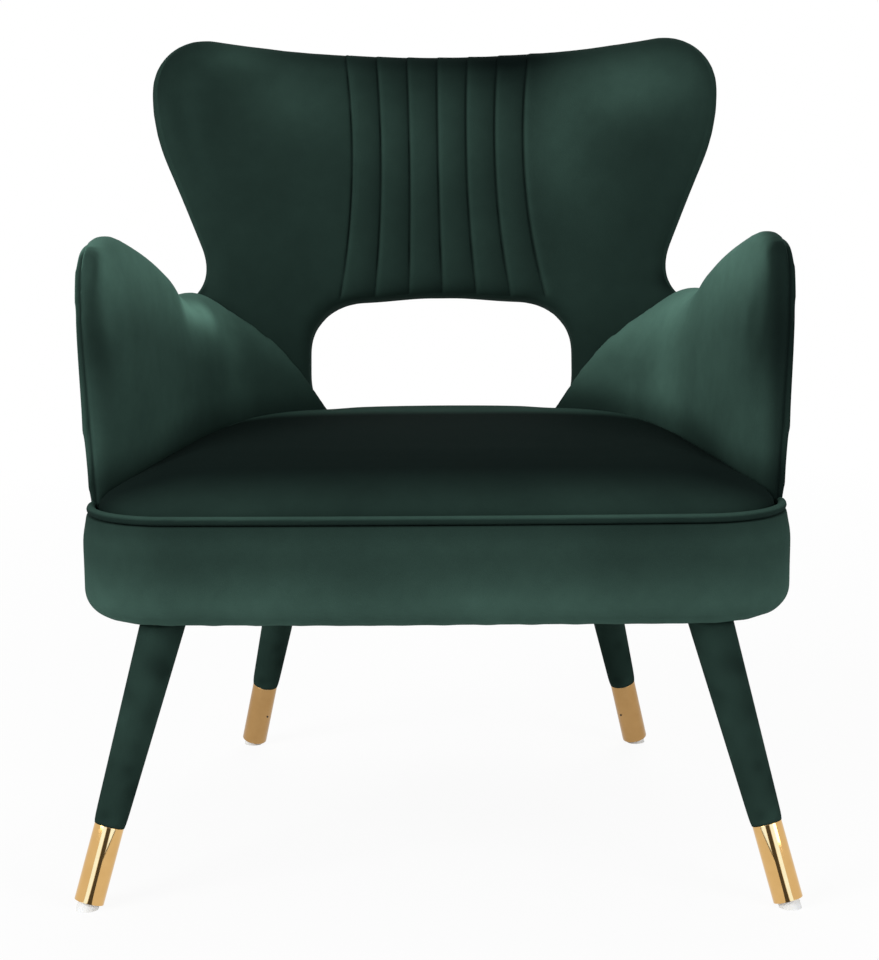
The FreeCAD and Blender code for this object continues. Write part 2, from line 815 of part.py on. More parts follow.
class Leg:
    def __init__(self, end, side):
        self.name = "%s_%s" % (end, side)
        self.hand = -1 if side == "left" else 1
        self.front = end == "front"
        foot_x = self.hand * size(end + "_foot_half_spacing")
        self.foot = V(foot_x, at_depth(size(end + "_foot_depth")), 0)
        lean = math.tan(math.radians(size("leg_lean")))
        splay = math.tan(math.radians(size(end + "_splay")))
        self.axis = V(-self.hand * splay, lean if self.front else -lean, 1).normalize()
        self.place = FreeCAD.Placement(self.foot, FreeCAD.Rotation(UP, self.axis))
        inward = V(-self.foot.x, -self.foot.y, 0)
        self.inward = (inward - self.axis * inward.dot(self.axis)).normalize()

    def at_height(self, height):
        return self.foot + self.axis * (height / self.axis.z)


legs = [Leg(end, side) for end in ("front", "rear") for side in ("left", "right")]
bolts = []
inserts = []
brads = []
for leg in legs:
    brad = doc.addObject("Part::Cylinder", leg.name + "_brad")
    brad.setExpression("Radius", "Sizes.brad_diameter / 2")
    brad.setExpression("Height", "Sizes.brad_length")
    reach = size("ferrule_diameter") / 2 + size("brad_proud")
    start = leg.foot + leg.axis * size("brad_height") + leg.inward * reach
    brad.Placement = FreeCAD.Placement(start, FreeCAD.Rotation(UP, leg.inward * -1))
    brads.append(brad)

    brad_hole = doc.addObject("Part::Cylinder", leg.name + "_brad_hole")
    brad_hole.setExpression("Radius", "Sizes.brad_diameter / 2 + Sizes.clearance / 2")
    brad_hole.setExpression("Height", "Sizes.brad_length + Sizes.clearance")
    brad_hole.Placement = brad.Placement

    core = turned(leg.name + "_core_blank", CORE_PROFILE)
    sleeve = turned(leg.name + "_sleeve_blank", SLEEVE_PROFILE)
    ferrule = turned(leg.name + "_ferrule_blank", FERRULE_PROFILE)
    glide = turned(leg.name + "_glide_blank", GLIDE_PROFILE)
    bolt = turned(leg.name + "_hanger_bolt", BOLT_PROFILE)
    insert = turned(leg.name + "_insert_nut", INSERT_PROFILE)
    for body in (core, sleeve, ferrule, glide, bolt, insert):
        body.Placement = leg.place
    bolts.append(bolt)
    inserts.append(insert)

    level_core = joined_feature("Part::Common", leg.name + "_level_core", core, leg_zone)
    level_sleeve = joined_feature("Part::Common", leg.name + "_leg_sleeve", sleeve, leg_zone)
    level_glide = joined_feature("Part::Common", leg.name + "_glide", glide, leg_zone)
    drilled_core = joined_feature("Part::Cut", leg.name + "_leg_core", level_core, brad_hole)
    drilled_ferrule = joined_feature("Part::Cut", leg.name + "_ferrule", ferrule, brad_hole)
    node(drilled_core, leg.name + "_leg_core")
    node(level_sleeve, leg.name + "_leg_sleeve")
    node(drilled_ferrule, leg.name + "_ferrule")
    node(level_glide, leg.name + "_glide")
group("leg_hanger_bolts", bolts)
group("leg_insert_nuts", inserts)
group("ferrule_brads", brads)

# Corner blocks: diagonal blocks inside the ring of rails, bored for the insert nuts

inside_rails = doc.addObject("Part::Feature", "inside_rails")
inside_block = prism(rail_inner + clearance, size("rail_bottom"), size("rail_top"))
inside_rails.Shape = inside_block.common(between_depths(0, size("seat_depth") - rear_inner - clearance))
for leg in legs:
    blank = doc.addObject("Part::Box", leg.name + "_block_blank")
    blank.setExpression("Length", "Sizes.block_length")
    blank.setExpression("Width", "Sizes.block_length")
    blank.setExpression("Height", "Sizes.block_height")
    reach = size("front_block_reach") if leg.front else size("rear_block_reach")
    spot = leg.at_height(size("rail_bottom"))
    away = V(leg.hand, -1 if leg.front else 1, 0).normalize()
    along = V(-away.y, away.x, 0)
    half = size("block_length") / 2
    if leg.front:
        face = V(leg.hand * reach / 2, at_depth(0) - reach / 2, 0)
    else:
        face = V(leg.hand * reach / 2, at_depth(0) + reach / 2, 0)
    face = face + along * along.dot(spot - face)
    corner = V(face.x, face.y, size("rail_bottom")) - along * half
    blank.Placement = FreeCAD.Placement(corner, FreeCAD.Rotation(away, along, UP, "XYZ"))
    bore = doc.addObject("Part::Cylinder", leg.name + "_block_bore")
    bore.setExpression("Radius", "Sizes.insert_diameter / 2 + Sizes.clearance")
    bore.setExpression("Height", "2 * Sizes.leg_length")
    bore.Placement = leg.place
    block = joined_feature("Part::Common", leg.name + "_block", blank, inside_rails)
    bored = joined_feature("Part::Cut", leg.name + "_corner_block", block, bore)
    node(bored, leg.name + "_corner_block")

# Webbing: straps from front to rear, then straps across on top of them

strap = size("strap_thickness")
strap_zone = prism(size("strap_inset"), size("rail_top"), size("rail_top") + 3 * strap)
strap_zone = strap_zone.common(laid_back(drum_of_back(panel_start - size("strap_back_gap"))))
panel_side = arm_plank(-MARGIN, arm_panel_far, clearance)
panel_foot = panel_side.copy()
panel_foot.translate(V(0, 0, -3 * strap))
strap_zone = strap_zone.cut([panel_side, panel_foot, mirrored(panel_side), mirrored(panel_foot)])
strap_limit = doc.addObject("Part::Feature", "strap_limit")
strap_limit.Shape = strap_zone
straps = []
for step in (-2, -1, 0, 1, 2):
    for across in (False, True):
        name = "strap_%s_%d" % ("across" if across else "along", step + 3)
        blank = doc.addObject("Part::Box", name + "_blank")
        long_side, short_side = ("Length", "Width") if across else ("Width", "Length")
        blank.setExpression(long_side, "2 * Sizes.seat_depth")
        blank.setExpression(short_side, "Sizes.strap_width")
        blank.setExpression("Height", "Sizes.strap_thickness")
        centre = V(step * size("strap_pitch"), 0, size("rail_top"))
        shift = V(size("strap_width") / 2, size("seat_depth"), 0)
        if across:
            centre = V(0, at_depth(size("seat_depth") / 2 + step * size("strap_pitch")),
                       size("rail_top") + strap)
            shift = V(size("seat_depth"), size("strap_width") / 2, 0)
        blank.Placement = FreeCAD.Placement(centre - shift, FreeCAD.Rotation())
        straps.append(joined_feature("Part::Common", name, blank, strap_limit))
group("seat_webbing", straps)

# Seat cushion, its cover, the piping, the border and the dust cover

foam_bottom = size("rail_top") + 2 * strap + clearance
foam_side = size("crown_inset") + under_cover + FOAM_STEP
foam = prism(foam_side, foam_bottom, size("crown_base"))
foam = foam.fuse(seat_crown(cover + 2 * clearance))
foam = foam.cut(arm_rooms).common(before_back)
formed("seat_foam", largest(foam))

top_cover = seat_crown(0).cut(seat_crown(cover))
top_cover = top_cover.cut(arm_rooms).common(before_back)
formed("seat_top_cover", largest(top_cover))

piping_radius = size("piping_diameter") / 2
piping_inset = size("crown_inset") - clearance - piping_radius
piping_height = size("border_top") + clearance + piping_radius
rim = plan(piping_inset, piping_height)
nose_y = at_depth(ARM_SECTIONS[0][0] * size("seat_depth"))
front_part = [edge for edge in rim.Edges if edge.CenterOfMass.y < nose_y]
path = Part.Wire(Part.__sortEdges__(front_part))
path_edge = path.OrderedEdges[0]
path_start = path.OrderedVertexes[0].Point
parameter = path_edge.Curve.parameter(path_start)
section = Part.makeCircle(piping_radius, path_start, path_edge.tangentAt(parameter))
piping = path.makePipeShell([Part.Wire(section)], True, False)
formed("seat_piping", largest(piping.cut(arm_rooms)))

# The border is turned in at the bottom, and at the top under the arms, the back and the seat
lip_base = size("border_top") - cover
border = border_form(0, 0).cut(border_form(cover, cover).cut(above(lip_base)))
border = border.cut(prism(size("lip_width"), 0, FAR))
foam_room = prism(foam_side - clearance, foam_bottom, size("crown_base"))
foam_room = foam_room.cut([arm_form(0), mirrored(arm_form(0))]).common(laid_back(drum_of_back(0)))
arm_panel_room = arm_plank(arm_panel_near - clearance, arm_panel_far, clearance)
back_panel_room = board(panel_start - clearance, panel_end + clearance, panel_inset - clearance)
border = border.cut([foam_room, arm_panel_room, mirrored(arm_panel_room), laid_back(back_panel_room)])
formed("seat_border_cover", largest(border))

padding = border_form(under_cover, under_cover).cut(prism(rail_inset - clearance, 0, FAR))
padding = padding.common(above(size("padding_bottom"))).cut(above(size("rail_top")))
formed("seat_border_padding", largest(padding))

dust_top = size("seat_bottom") - clearance
dust = prism(size("dust_cover_inset"), dust_top - size("dust_cover_thickness"), dust_top)
hole_radius = size("hanger_bolt_diameter") / 2 + size("dust_cover_hole_margin")
holes = [Part.makeCylinder(hole_radius, size("leg_length") * 2, leg.foot, leg.axis) for leg in legs]
formed("dust_cover", largest(dust.cut(holes)))

# Checks, then one file for each node

doc.recompute()
for piece in doc.Objects:
    if "Invalid" in piece.State or "Error" in piece.State:
        raise RuntimeError("%s is in state %s" % (piece.Label, piece.State))
for piece in nodes:
    if piece.Shape.isNull() or not piece.Shape.isValid():
        raise RuntimeError("%s has no sound shape" % piece.Label)
    if not piece.Shape.Solids:
        raise RuntimeError("%s has no solid" % piece.Label)

os.makedirs("parts", exist_ok=True)
for piece in nodes:
    piece.Shape.exportStep("parts/%s.step" % piece.Label)
print("nodes written:", len(nodes))
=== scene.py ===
# %% [markdown]
# # A wingback chair in green velvet
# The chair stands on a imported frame: its boards, rails, legs and foams are already there at
# their real size. This lesson dresses that frame. Every soft piece starts as a copy of the
# foam and covers that it stands for, so it sits exactly where the frame says.

# %% Load the frame
import json
import math

import bmesh
import bpy
import numpy as np
from mathutils import Matrix, Vector
from mathutils.bvhtree import BVHTree
from mathutils.kdtree import KDTree


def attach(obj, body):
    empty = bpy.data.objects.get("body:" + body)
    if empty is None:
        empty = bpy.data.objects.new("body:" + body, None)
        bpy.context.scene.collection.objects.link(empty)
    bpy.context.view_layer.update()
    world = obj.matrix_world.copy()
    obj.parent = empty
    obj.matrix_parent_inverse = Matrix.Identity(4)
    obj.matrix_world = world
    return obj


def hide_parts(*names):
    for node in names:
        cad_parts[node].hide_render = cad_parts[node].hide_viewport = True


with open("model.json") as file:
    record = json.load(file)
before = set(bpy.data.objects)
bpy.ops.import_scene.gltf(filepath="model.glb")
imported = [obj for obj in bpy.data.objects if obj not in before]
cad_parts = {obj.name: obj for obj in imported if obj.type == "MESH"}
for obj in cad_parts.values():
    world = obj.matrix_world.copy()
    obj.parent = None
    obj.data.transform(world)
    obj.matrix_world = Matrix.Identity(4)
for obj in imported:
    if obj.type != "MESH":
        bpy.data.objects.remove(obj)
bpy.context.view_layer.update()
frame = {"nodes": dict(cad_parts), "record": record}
MM = 0.001

# %% [markdown]
# ## The camera
# The photograph was taken from almost straight ahead, a little above the arms and looking down
# by nine degrees. The distance follows from how much larger the front feet look than the rear
# ones, and the lens from the height of the chair in the picture. The camera stood a hand's
# width to the right, which shifts the rear legs, and it was not quite level.

# %% Camera
CAMERA_DISTANCE = 2.2674
CAMERA_HEIGHT = 0.728
CAMERA_TILT = math.radians(9.133)
CAMERA_ORBIT = math.radians(0.86)
CAMERA_ROLL = math.radians(-0.50)
CAMERA_LENS = 78.6
CAMERA_SHIFT = 0.0002

camera_data = bpy.data.cameras.new("photo_camera")
camera_data.lens = CAMERA_LENS
camera_data.shift_x = CAMERA_SHIFT
camera = bpy.data.objects.new("photo_camera", camera_data)
stand = Matrix.Rotation(CAMERA_ORBIT, 4, "Z") @ Matrix.Translation((0, -CAMERA_DISTANCE, CAMERA_HEIGHT))
aim = Matrix.Rotation(math.pi / 2 - CAMERA_TILT, 4, "X") @ Matrix.Rotation(CAMERA_ROLL, 4, "Z")
camera.matrix_world = stand @ aim
bpy.context.scene.collection.objects.link(camera)
bpy.context.scene.camera = camera
print("camera at", tuple(round(c, 3) for c in stand.translation), "lens", CAMERA_LENS)

# %% [markdown]
# ## The studio
# A pale floor that runs out of sight, a white room and three large soft lamps: the main one
# from the left, which lights the inner side of the right arm and wing, where light is also
# painted into the velvet, a weak one from the front right and one high behind, which draws
# the bright line on the ridges of the arms together with a highlight painted into the velvet.
# The floor and the world look white to the camera and to mirrors, while the chair is lit at a
# plain level. A dark and a bright card in front of each front foot, which only mirrors see,
# give its brass the stripes of a photo studio.

# %% Studio helpers
HANDS = {"left": -1, "right": 1}
STUDIO_TARGET = Vector((0.0, 0.0, 0.45))


def soft_lamp(name, place, width, power):
    lamp = bpy.data.lights.new(name, "AREA")
    lamp.shape = "SQUARE"
    lamp.size = width
    lamp.energy = power
    holder = bpy.data.objects.new(name, lamp)
    holder.location = place
    aim = STUDIO_TARGET - Vector(place)
    holder.rotation_euler = aim.to_track_quat("-Z", "Y").to_euler()
    bpy.context.scene.collection.objects.link(holder)


def new_piece(name, form):
    # Turns a bmesh into a smoothly shaded object
    mesh = bpy.data.meshes.new(name)
    form.to_mesh(mesh)
    form.free()
    mesh.shade_smooth()
    piece = bpy.data.objects.new(name, mesh)
    bpy.context.scene.collection.objects.link(piece)
    return piece


# %% Node helpers
def feed(tree, socket, value):
    # Links what comes out of another node, and writes a plain value into the socket itself
    if isinstance(value, bpy.types.NodeSocket):
        tree.links.new(value, socket)
    else:
        socket.default_value = value


def feed_all(tree, node, values):
    for name, value in values.items():
        feed(tree, node.inputs[name], value)


def maths(tree, operation, first, second):
    step = tree.nodes.new("ShaderNodeMath")
    step.operation = operation
    feed(tree, step.inputs[0], first)
    feed(tree, step.inputs[1], second)
    return step.outputs[0]


def shaded_material(name):
    material = bpy.data.materials.new(name)
    material.use_nodes = True
    tree = material.node_tree
    place = tree.nodes.new("ShaderNodeTexCoord").outputs["Object"]
    return material, tree, tree.nodes["Principled BSDF"], place


def seen_directly(tree):
    # 1 for rays that come straight from the camera, from a mirror or through glass
    rays = tree.nodes.new("ShaderNodeLightPath")
    seen = rays.outputs["Is Camera Ray"]
    for other in ("Is Glossy Ray", "Is Transmission Ray"):
        seen = maths(tree, "MAXIMUM", seen, rays.outputs[other])
    return seen


# %% Floor
FLOOR_REACH = 30.0
FLOOR_COLOUR = (0.86, 0.86, 0.86, 1)
FLOOR_GLOW = 0.93
FLOOR_FADE = (0.8, 2.6)

floor_form = bmesh.new()
bmesh.ops.create_grid(floor_form, x_segments=8, y_segments=8, size=FLOOR_REACH)
floor = new_piece("floor", floor_form)

floor_paint, floor_tree, floor_shader, floor_place = shaded_material("pale_floor")
floor_look = {"Base Color": FLOOR_COLOUR, "Roughness": 0.9, "Specular IOR Level": 0.0}
feed_all(floor_tree, floor_shader, floor_look)
floor_away = floor_tree.nodes.new("ShaderNodeVectorMath")
floor_away.operation = "LENGTH"
feed(floor_tree, floor_away.inputs[0], floor_place)
floor_fade = floor_tree.nodes.new("ShaderNodeMapRange")
feed_all(floor_tree, floor_fade, {
    "Value": floor_away.outputs["Value"],
    "From Min": FLOOR_FADE[0],
    "From Max": FLOOR_FADE[1],
    "To Min": FLOOR_GLOW,
    "To Max": 1.0,
})
floor_share = maths(floor_tree, "MULTIPLY", seen_directly(floor_tree), floor_fade.outputs["Result"])
floor_glow = floor_tree.nodes.new("ShaderNodeEmission")
floor_mix = floor_tree.nodes.new("ShaderNodeMixShader")
feed(floor_tree, floor_mix.inputs["Fac"], floor_share)
feed(floor_tree, floor_mix.inputs[1], floor_shader.outputs["BSDF"])
feed(floor_tree, floor_mix.inputs[2], floor_glow.outputs["Emission"])
feed(floor_tree, floor_tree.nodes["Material Output"].inputs["Surface"], floor_mix.outputs["Shader"])
floor.data.materials.append(floor_paint)
print("floor of", 2 * FLOOR_REACH, "m")

# %% White room and lamps
WORLD_LIGHT = 0.36

bpy.context.scene.view_settings.view_transform = "Standard"
world = bpy.data.worlds.new("white_room")
world.use_nodes = True
bpy.context.scene.world = world
world_tree = world.node_tree
room_light = world_tree.nodes.new("ShaderNodeMapRange")
feed_all(world_tree, room_light, {"Value": seen_directly(world_tree), "To Min": WORLD_LIGHT, "To Max": 1.0})
room_look = {"Color": (1, 1, 1, 1), "Strength": room_light.outputs["Result"]}
feed_all(world_tree, world_tree.nodes["Background"], room_look)

soft_lamp("front_left_lamp", (-2.3, -2.1, 1.9), 1.6, 74)
soft_lamp("front_right_lamp", (2.2, -2.2, 1.5), 1.4, 36)
soft_lamp("high_rear_lamp", (0.3, 1.5, 2.4), 1.4, 26)
print("studio: floor, white room and 3 lamps")

# %% Cards that only mirrors see
CARD_FOOT = (0.340, -0.330)
CARD_REACH = 1.6
CARD_WALL = Vector((0, 0, 1.5))
DARK_TURNS = (-13, 13)
DARK_LIGHT = {"Color": (1, 1, 1, 1), "Strength": 0.10}
BRIGHT_TURNS = (16, 44)
BRIGHT_LIGHT = {"Color": (0.42, 0.60, 1, 1), "Strength": 3.4}


def floor_card(name, hand, turns, height, light):
    # A wedge on the floor from a front foot towards the camera, turned outwards by some
    # degrees, with a wall at its end
    foot = Vector((hand * CARD_FOOT[0], CARD_FOOT[1], height))
    way = camera.matrix_world.translation - foot
    corners = [foot]
    for turn in turns:
        angle = math.atan2(way.x, -way.y) + hand * math.radians(turn)
        corners.append(foot + CARD_REACH * Vector((math.sin(angle), -math.cos(angle), 0)))
    corners += [corners[2] + CARD_WALL, corners[1] + CARD_WALL]
    form = bmesh.new()
    verts = [bmesh.ops.create_vert(form, co=corner)["vert"][0] for corner in corners]
    bmesh.ops.contextual_create(form, geom=verts[:3])
    bmesh.ops.contextual_create(form, geom=verts[1:])
    card = new_piece(name, form)
    paint = bpy.data.materials.new(name)
    paint.use_nodes = True
    tree = paint.node_tree
    glow = tree.nodes.new("ShaderNodeEmission")
    feed_all(tree, glow, light)
    feed(tree, tree.nodes["Material Output"].inputs["Surface"], glow.outputs["Emission"])
    card.data.materials.append(paint)
    for ray in ("camera", "diffuse", "shadow", "transmission", "volume_scatter"):
        setattr(card, "visible_" + ray, False)


for side, hand in HANDS.items():
    floor_card(side + "_dark_card", hand, DARK_TURNS, 2 * MM, DARK_LIGHT)
    floor_card(side + "_bright_card", hand, BRIGHT_TURNS, 3 * MM, BRIGHT_LIGHT)
print("4 cards that only mirrors see")

# %% [markdown]
# ## Tools for soft pieces
# A padded piece is made as an upholsterer would: copy the shape of foam and cover together,
# turn it into an even cloth of small quads with a voxel remesh, let the cloth simulation swell
# it a little against its seams, and then sew in the folds by moving points.

# %% Points of a mesh as arrays
def rows_of(items, field, width, kind):
    values = np.empty(len(items) * width, kind)
    items.foreach_get(field, values)
    return values.reshape(-1, width)


def points_of(mesh):
    return rows_of(mesh.vertices, "co", 3, np.float32).astype(float)


def normals_of(mesh):
    return rows_of(mesh.vertices, "normal", 3, np.float32).astype(float)


def edges_of(mesh):
    return rows_of(mesh.edges, "vertices", 2, np.int32)


def set_points(mesh, points):
    mesh.vertices.foreach_set("co", points.astype(np.float32).ravel())
    mesh.update()


def eased(value, start, end):
    # 0 before start, 1 after end and a soft step between; start may lie above end
    share = np.clip((value - start) / (end - start), 0, 1)
    return share * share * (3 - 2 * share)


def bump(value, centre, width):
    return np.exp(-((value - centre) / width) ** 2)


def relaxed(points, edges, rounds, share):
    # Pulls every point towards the middle of its neighbours; share is one number or one per point
    count = len(points)
    ends = np.concatenate([edges[:, 0], edges[:, 1]])
    others = np.concatenate([edges[:, 1], edges[:, 0]])
    neighbours = np.bincount(ends, minlength=count)[:, None]
    pull = np.broadcast_to(np.reshape(share, (-1, 1)), (count, 1))
    for _ in range(rounds):
        sums = np.stack([np.bincount(ends, points[others, axis], count) for axis in range(3)], axis=1)
        points = points + pull * (sums / neighbours - points)
    return points


# %% Copies and modifiers
MERGE = 0.001 * MM


def bake_modifiers(piece):
    graph = bpy.context.evaluated_depsgraph_get()
    mesh = bpy.data.meshes.new_from_object(piece.evaluated_get(graph))
    piece.modifiers.clear()
    old = piece.data
    piece.data = mesh
    bpy.data.meshes.remove(old)
    mesh.shade_smooth()


def frame_copy(node):
    form = bmesh.new()
    form.from_mesh(frame["nodes"][node].data)
    bmesh.ops.remove_doubles(form, verts=form.verts, dist=MERGE)
    return form


def cut_level(form, height, clear_below):
    everything = form.verts[:] + form.edges[:] + form.faces[:]
    return bmesh.ops.bisect_plane(form, geom=everything, dist=MERGE, plane_co=(0, 0, height),
                                  plane_no=(0, 0, 1), clear_inner=clear_below)


def trimmed_copy(node, height):
    # A copy of a node with what lies below a height cut away and closed
    form = frame_copy(node)
    cut_level(form, height, True)
    bmesh.ops.holes_fill(form, edges=[edge for edge in form.edges if edge.is_boundary])
    return form


def joined(forms):
    whole = bmesh.new()
    for form in forms:
        part = bpy.data.meshes.new("part")
        form.to_mesh(part)
        form.free()
        whole.from_mesh(part)
        bpy.data.meshes.remove(part)
    return whole


def remesh(piece, voxel):
    modifier = piece.modifiers.new("even_quads", "REMESH")
    modifier.mode = "VOXEL"
    modifier.voxel_size = voxel
    bake_modifiers(piece)


def add_finer(piece):
    modifier = piece.modifiers.new("finer", "SUBSURF")
    modifier.levels = 1
    modifier.render_levels = 1


def subdivide(piece):
    add_finer(piece)
    bake_modifiers(piece)


# %% Cloth simulation
SWELL_FRAMES = 20
SWELL_QUALITY = 4
SWELL_CALM = 40
CALM_SHARE = 0.5


def swell(piece, pressure, most, held):
    # Inflates the cover against its held points. The shift is calmed over the cloth, because
    # a tight cover has no wrinkles, and no point moves further than the most.
    scene = bpy.context.scene
    rest = points_of(piece.data)
    pins = piece.vertex_groups.new(name="held")
    pins.add(np.flatnonzero(held).tolist(), 1.0, "REPLACE")
    cloth = piece.modifiers.new("swell", "CLOTH")
    cloth.settings.vertex_group_mass = pins.name
    cloth.settings.use_pressure = True
    cloth.settings.uniform_pressure_force = pressure
    cloth.settings.effector_weights.gravity = 0
    cloth.settings.quality = SWELL_QUALITY
    for number in range(1, SWELL_FRAMES + 1):
        scene.frame_set(number)
    graph = bpy.context.evaluated_depsgraph_get()
    shift = points_of(piece.evaluated_get(graph).data) - rest
    shift = relaxed(shift, edges_of(piece.data), SWELL_CALM, CALM_SHARE)
    length = np.linalg.norm(shift, axis=1, keepdims=True) + MERGE
    piece.modifiers.clear()
    piece.vertex_groups.clear()
    scene.frame_set(1)
    set_points(piece.data, rest + shift / length * most * np.tanh(length / most))
    print(piece.name, "swelled by up to", round(float(length.max()) / MM, 1), "mm before the cap")


# %% [markdown]
# ## Velvet
# Velvet is a short upright pile. It looks dark where the pile points at us and light where
# it leans away, so every soft piece carries a number on its points, the nap, that says how
# the pile was brushed there and also holds painted light and shade: painted highlights on
# ridges, rolls and folds, and painted shade in creases and crevices, under the piping and on
# faces turned from the lamps. One node group mixes the two tones of the pile by that number,
# with brushed patches, small mottling and the fine pile itself, which all grow with the nap, so
# dark cloth stays dark. The soft bright edge of velvet is the shader's own sheen.

# %% Texture helpers
def noise(tree, place, scale, detail):
    texture = tree.nodes.new("ShaderNodeTexNoise")
    feed_all(tree, texture, {"Vector": place, "Scale": scale, "Detail": detail})
    return texture.outputs["Fac"]


def swayed(tree, base, texture, amount):
    # The base made larger and smaller by a texture that runs from 0 to 1
    swing = maths(tree, "MULTIPLY", maths(tree, "SUBTRACT", texture, 0.5), amount)
    return maths(tree, "MULTIPLY", base, maths(tree, "ADD", swing, 1.0))


def mixed(tree, factor, first, second):
    mix = tree.nodes.new("ShaderNodeMix")
    mix.data_type = "RGBA"
    feed_all(tree, mix, {"Factor": factor, "A": first, "B": second})
    return mix.outputs["Result"]


# %% Pile group
PILE_PATCH_SCALE = 7
PILE_MOTTLE_SCALE = 55
PILE_MOTTLE_SWAY = 0.28
PILE_GRAIN_SCALE = 1500
PILE_GRAIN_SWAY = 0.40


def make_pile_group():
    group = bpy.data.node_groups.new("velvet_pile", "ShaderNodeTree")
    for name, kind in (("Place", "Vector"), ("Nap and painted light", "Float"), ("Patches", "Float"),
                       ("Dark pile", "Color"), ("Light pile", "Color")):
        group.interface.new_socket(name, in_out="INPUT", socket_type="NodeSocket" + kind)
    group.interface.new_socket("Color", in_out="OUTPUT", socket_type="NodeSocketColor")
    group.interface.new_socket("Height", in_out="OUTPUT", socket_type="NodeSocketFloat")
    start = group.nodes.new("NodeGroupInput").outputs
    end = group.nodes.new("NodeGroupOutput")
    patches = noise(group, start["Place"], PILE_PATCH_SCALE, 1)
    mottle = noise(group, start["Place"], PILE_MOTTLE_SCALE, 3)
    grain = noise(group, start["Place"], PILE_GRAIN_SCALE, 2)
    # The nap holds painted light and shade besides the brushing of the pile, and so does the lean made from
    # it
    lean = swayed(group, start["Nap and painted light"], patches, start["Patches"])
    lean = swayed(group, lean, mottle, PILE_MOTTLE_SWAY)
    lean = swayed(group, lean, grain, PILE_GRAIN_SWAY)
    lean = maths(group, "MINIMUM", maths(group, "MAXIMUM", lean, 0.0), 1.0)
    colour = mixed(group, lean, start["Dark pile"], start["Light pile"])
    feed_all(group, end, {"Color": colour, "Height": grain})
    return group


pile_group = make_pile_group()
print("pile group with", len(pile_group.nodes), "nodes")

# %% Velvet material
VELVET_DARK = (0.0030, 0.0060, 0.0054, 1)
VELVET_LIGHT = (0.1930, 0.3940, 0.3146, 1)
VELVET_SHEEN = (0.45, 0.70, 0.60, 1)
VELVET_PATCHES = 0.8
PILE_HEIGHT = 0.5 * MM
NAP_MOST = 2


def bumped(tree, shader, height, depth, strength):
    relief = tree.nodes.new("ShaderNodeBump")
    feed_all(tree, relief, {"Strength": strength, "Distance": depth, "Height": height})
    feed(tree, shader.inputs["Normal"], relief.outputs["Normal"])


def make_velvet():
    material, tree, shader, place = shaded_material("green_velvet")
    nap_and_painted_light = tree.nodes.new("ShaderNodeAttribute")
    nap_and_painted_light.attribute_name = "nap_and_painted_light"
    pile = tree.nodes.new("ShaderNodeGroup")
    pile.node_tree = pile_group
    feed_all(tree, pile, {
        "Place": place,
        "Nap and painted light": nap_and_painted_light.outputs["Fac"],
        "Patches": VELVET_PATCHES,
        "Dark pile": VELVET_DARK,
        "Light pile": VELVET_LIGHT,
    })
    feed_all(tree, shader, {
        "Base Color": pile.outputs["Color"],
        "Roughness": 0.9,
        "Specular IOR Level": 0.01,
        "Sheen Weight": 0.005,
        "Sheen Roughness": 0.32,
        "Sheen Tint": VELVET_SHEEN,
    })
    bumped(tree, shader, pile.outputs["Height"], PILE_HEIGHT, 0.35)
    return material


velvet = make_velvet()


def pile_marks_and_painted_light(across, up, soft_spots):
    # Soft marks on the pile and painted light and shade: place and reach both ways, and how much lighter
    marks = np.zeros(len(across))
    for place_across, place_up, reach_across, reach_up, lighter in soft_spots:
        marks += lighter * bump(across, place_across, reach_across) * bump(up, place_up, reach_up)
    return marks


def dress_in_velvet(piece, nap_and_painted_light):
    # The nap holds painted highlights and painted shade as well as how the pile was brushed
    nap_and_light_layer = piece.data.attributes.new("nap_and_painted_light", "FLOAT", "POINT")
    nap_and_light_layer.data.foreach_set("value", np.clip(nap_and_painted_light / NAP_MOST, 0, 1).astype(np.float32))
    piece.data.materials.clear()
    piece.data.materials.append(velvet)
    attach(piece, "root")


print("velvet ready")

# %% [markdown]
# ## The bench of the back
# The back is a flat pad bent over a drum and leant back. It is far easier to sew on a bench,
# so its points are laid flat there: across, depth behind the front face and height. The
# stitched lines of the back fan out a little, and the bench straightens them too, so that
# they run along the columns of the remeshed cloth. The same two functions bring it back.

# %% Bench of the back
BACK_SPOT = np.array((0.0, 0.2076, 0.410))
BACK_RECLINE = math.radians(12)
DRUM_RADIUS = 0.700
LANE_PITCH = 0.036
LANE_COUNT = 7
LANE_FOOT = 0.121
LANE_TOP = 0.470
LANE_PITCHES = (0.0403, 0.0347, 0.0370)
LANE_FADE = (0.118, 0.215)
BENCH_ROUNDS = 20

tilt_cos = math.cos(BACK_RECLINE)
tilt_sin = math.sin(BACK_RECLINE)


def up_the_lanes(height, values):
    # A smooth curve through three values at the foot, the waist and the top of the lanes
    share = np.clip((height - LANE_FOOT) / (LANE_TOP - LANE_FOOT), 0, 1)
    foot, waist, top = values
    ends = foot * (1 - share) * (1 - 2 * share) + top * share * (2 * share - 1)
    return ends + 4 * waist * share * (1 - share)


def lane_stretch(across, height):
    # How many times wider apart than on the bench the stitched lines stand at a height
    pitch = up_the_lanes(height, LANE_PITCHES)
    return 1 + (pitch / LANE_PITCH - 1) * eased(np.abs(across), LANE_FADE[1], LANE_FADE[0])


def to_bench(points):
    across, behind, above = (points - BACK_SPOT).T
    depth_line = behind * tilt_cos - above * tilt_sin
    height = behind * tilt_sin + above * tilt_cos
    depth = np.hypot(across, depth_line + DRUM_RADIUS) - DRUM_RADIUS
    straight = across
    for _ in range(BENCH_ROUNDS):
        straight = across / lane_stretch(straight, height)
    return np.stack([straight, depth, height], axis=1)


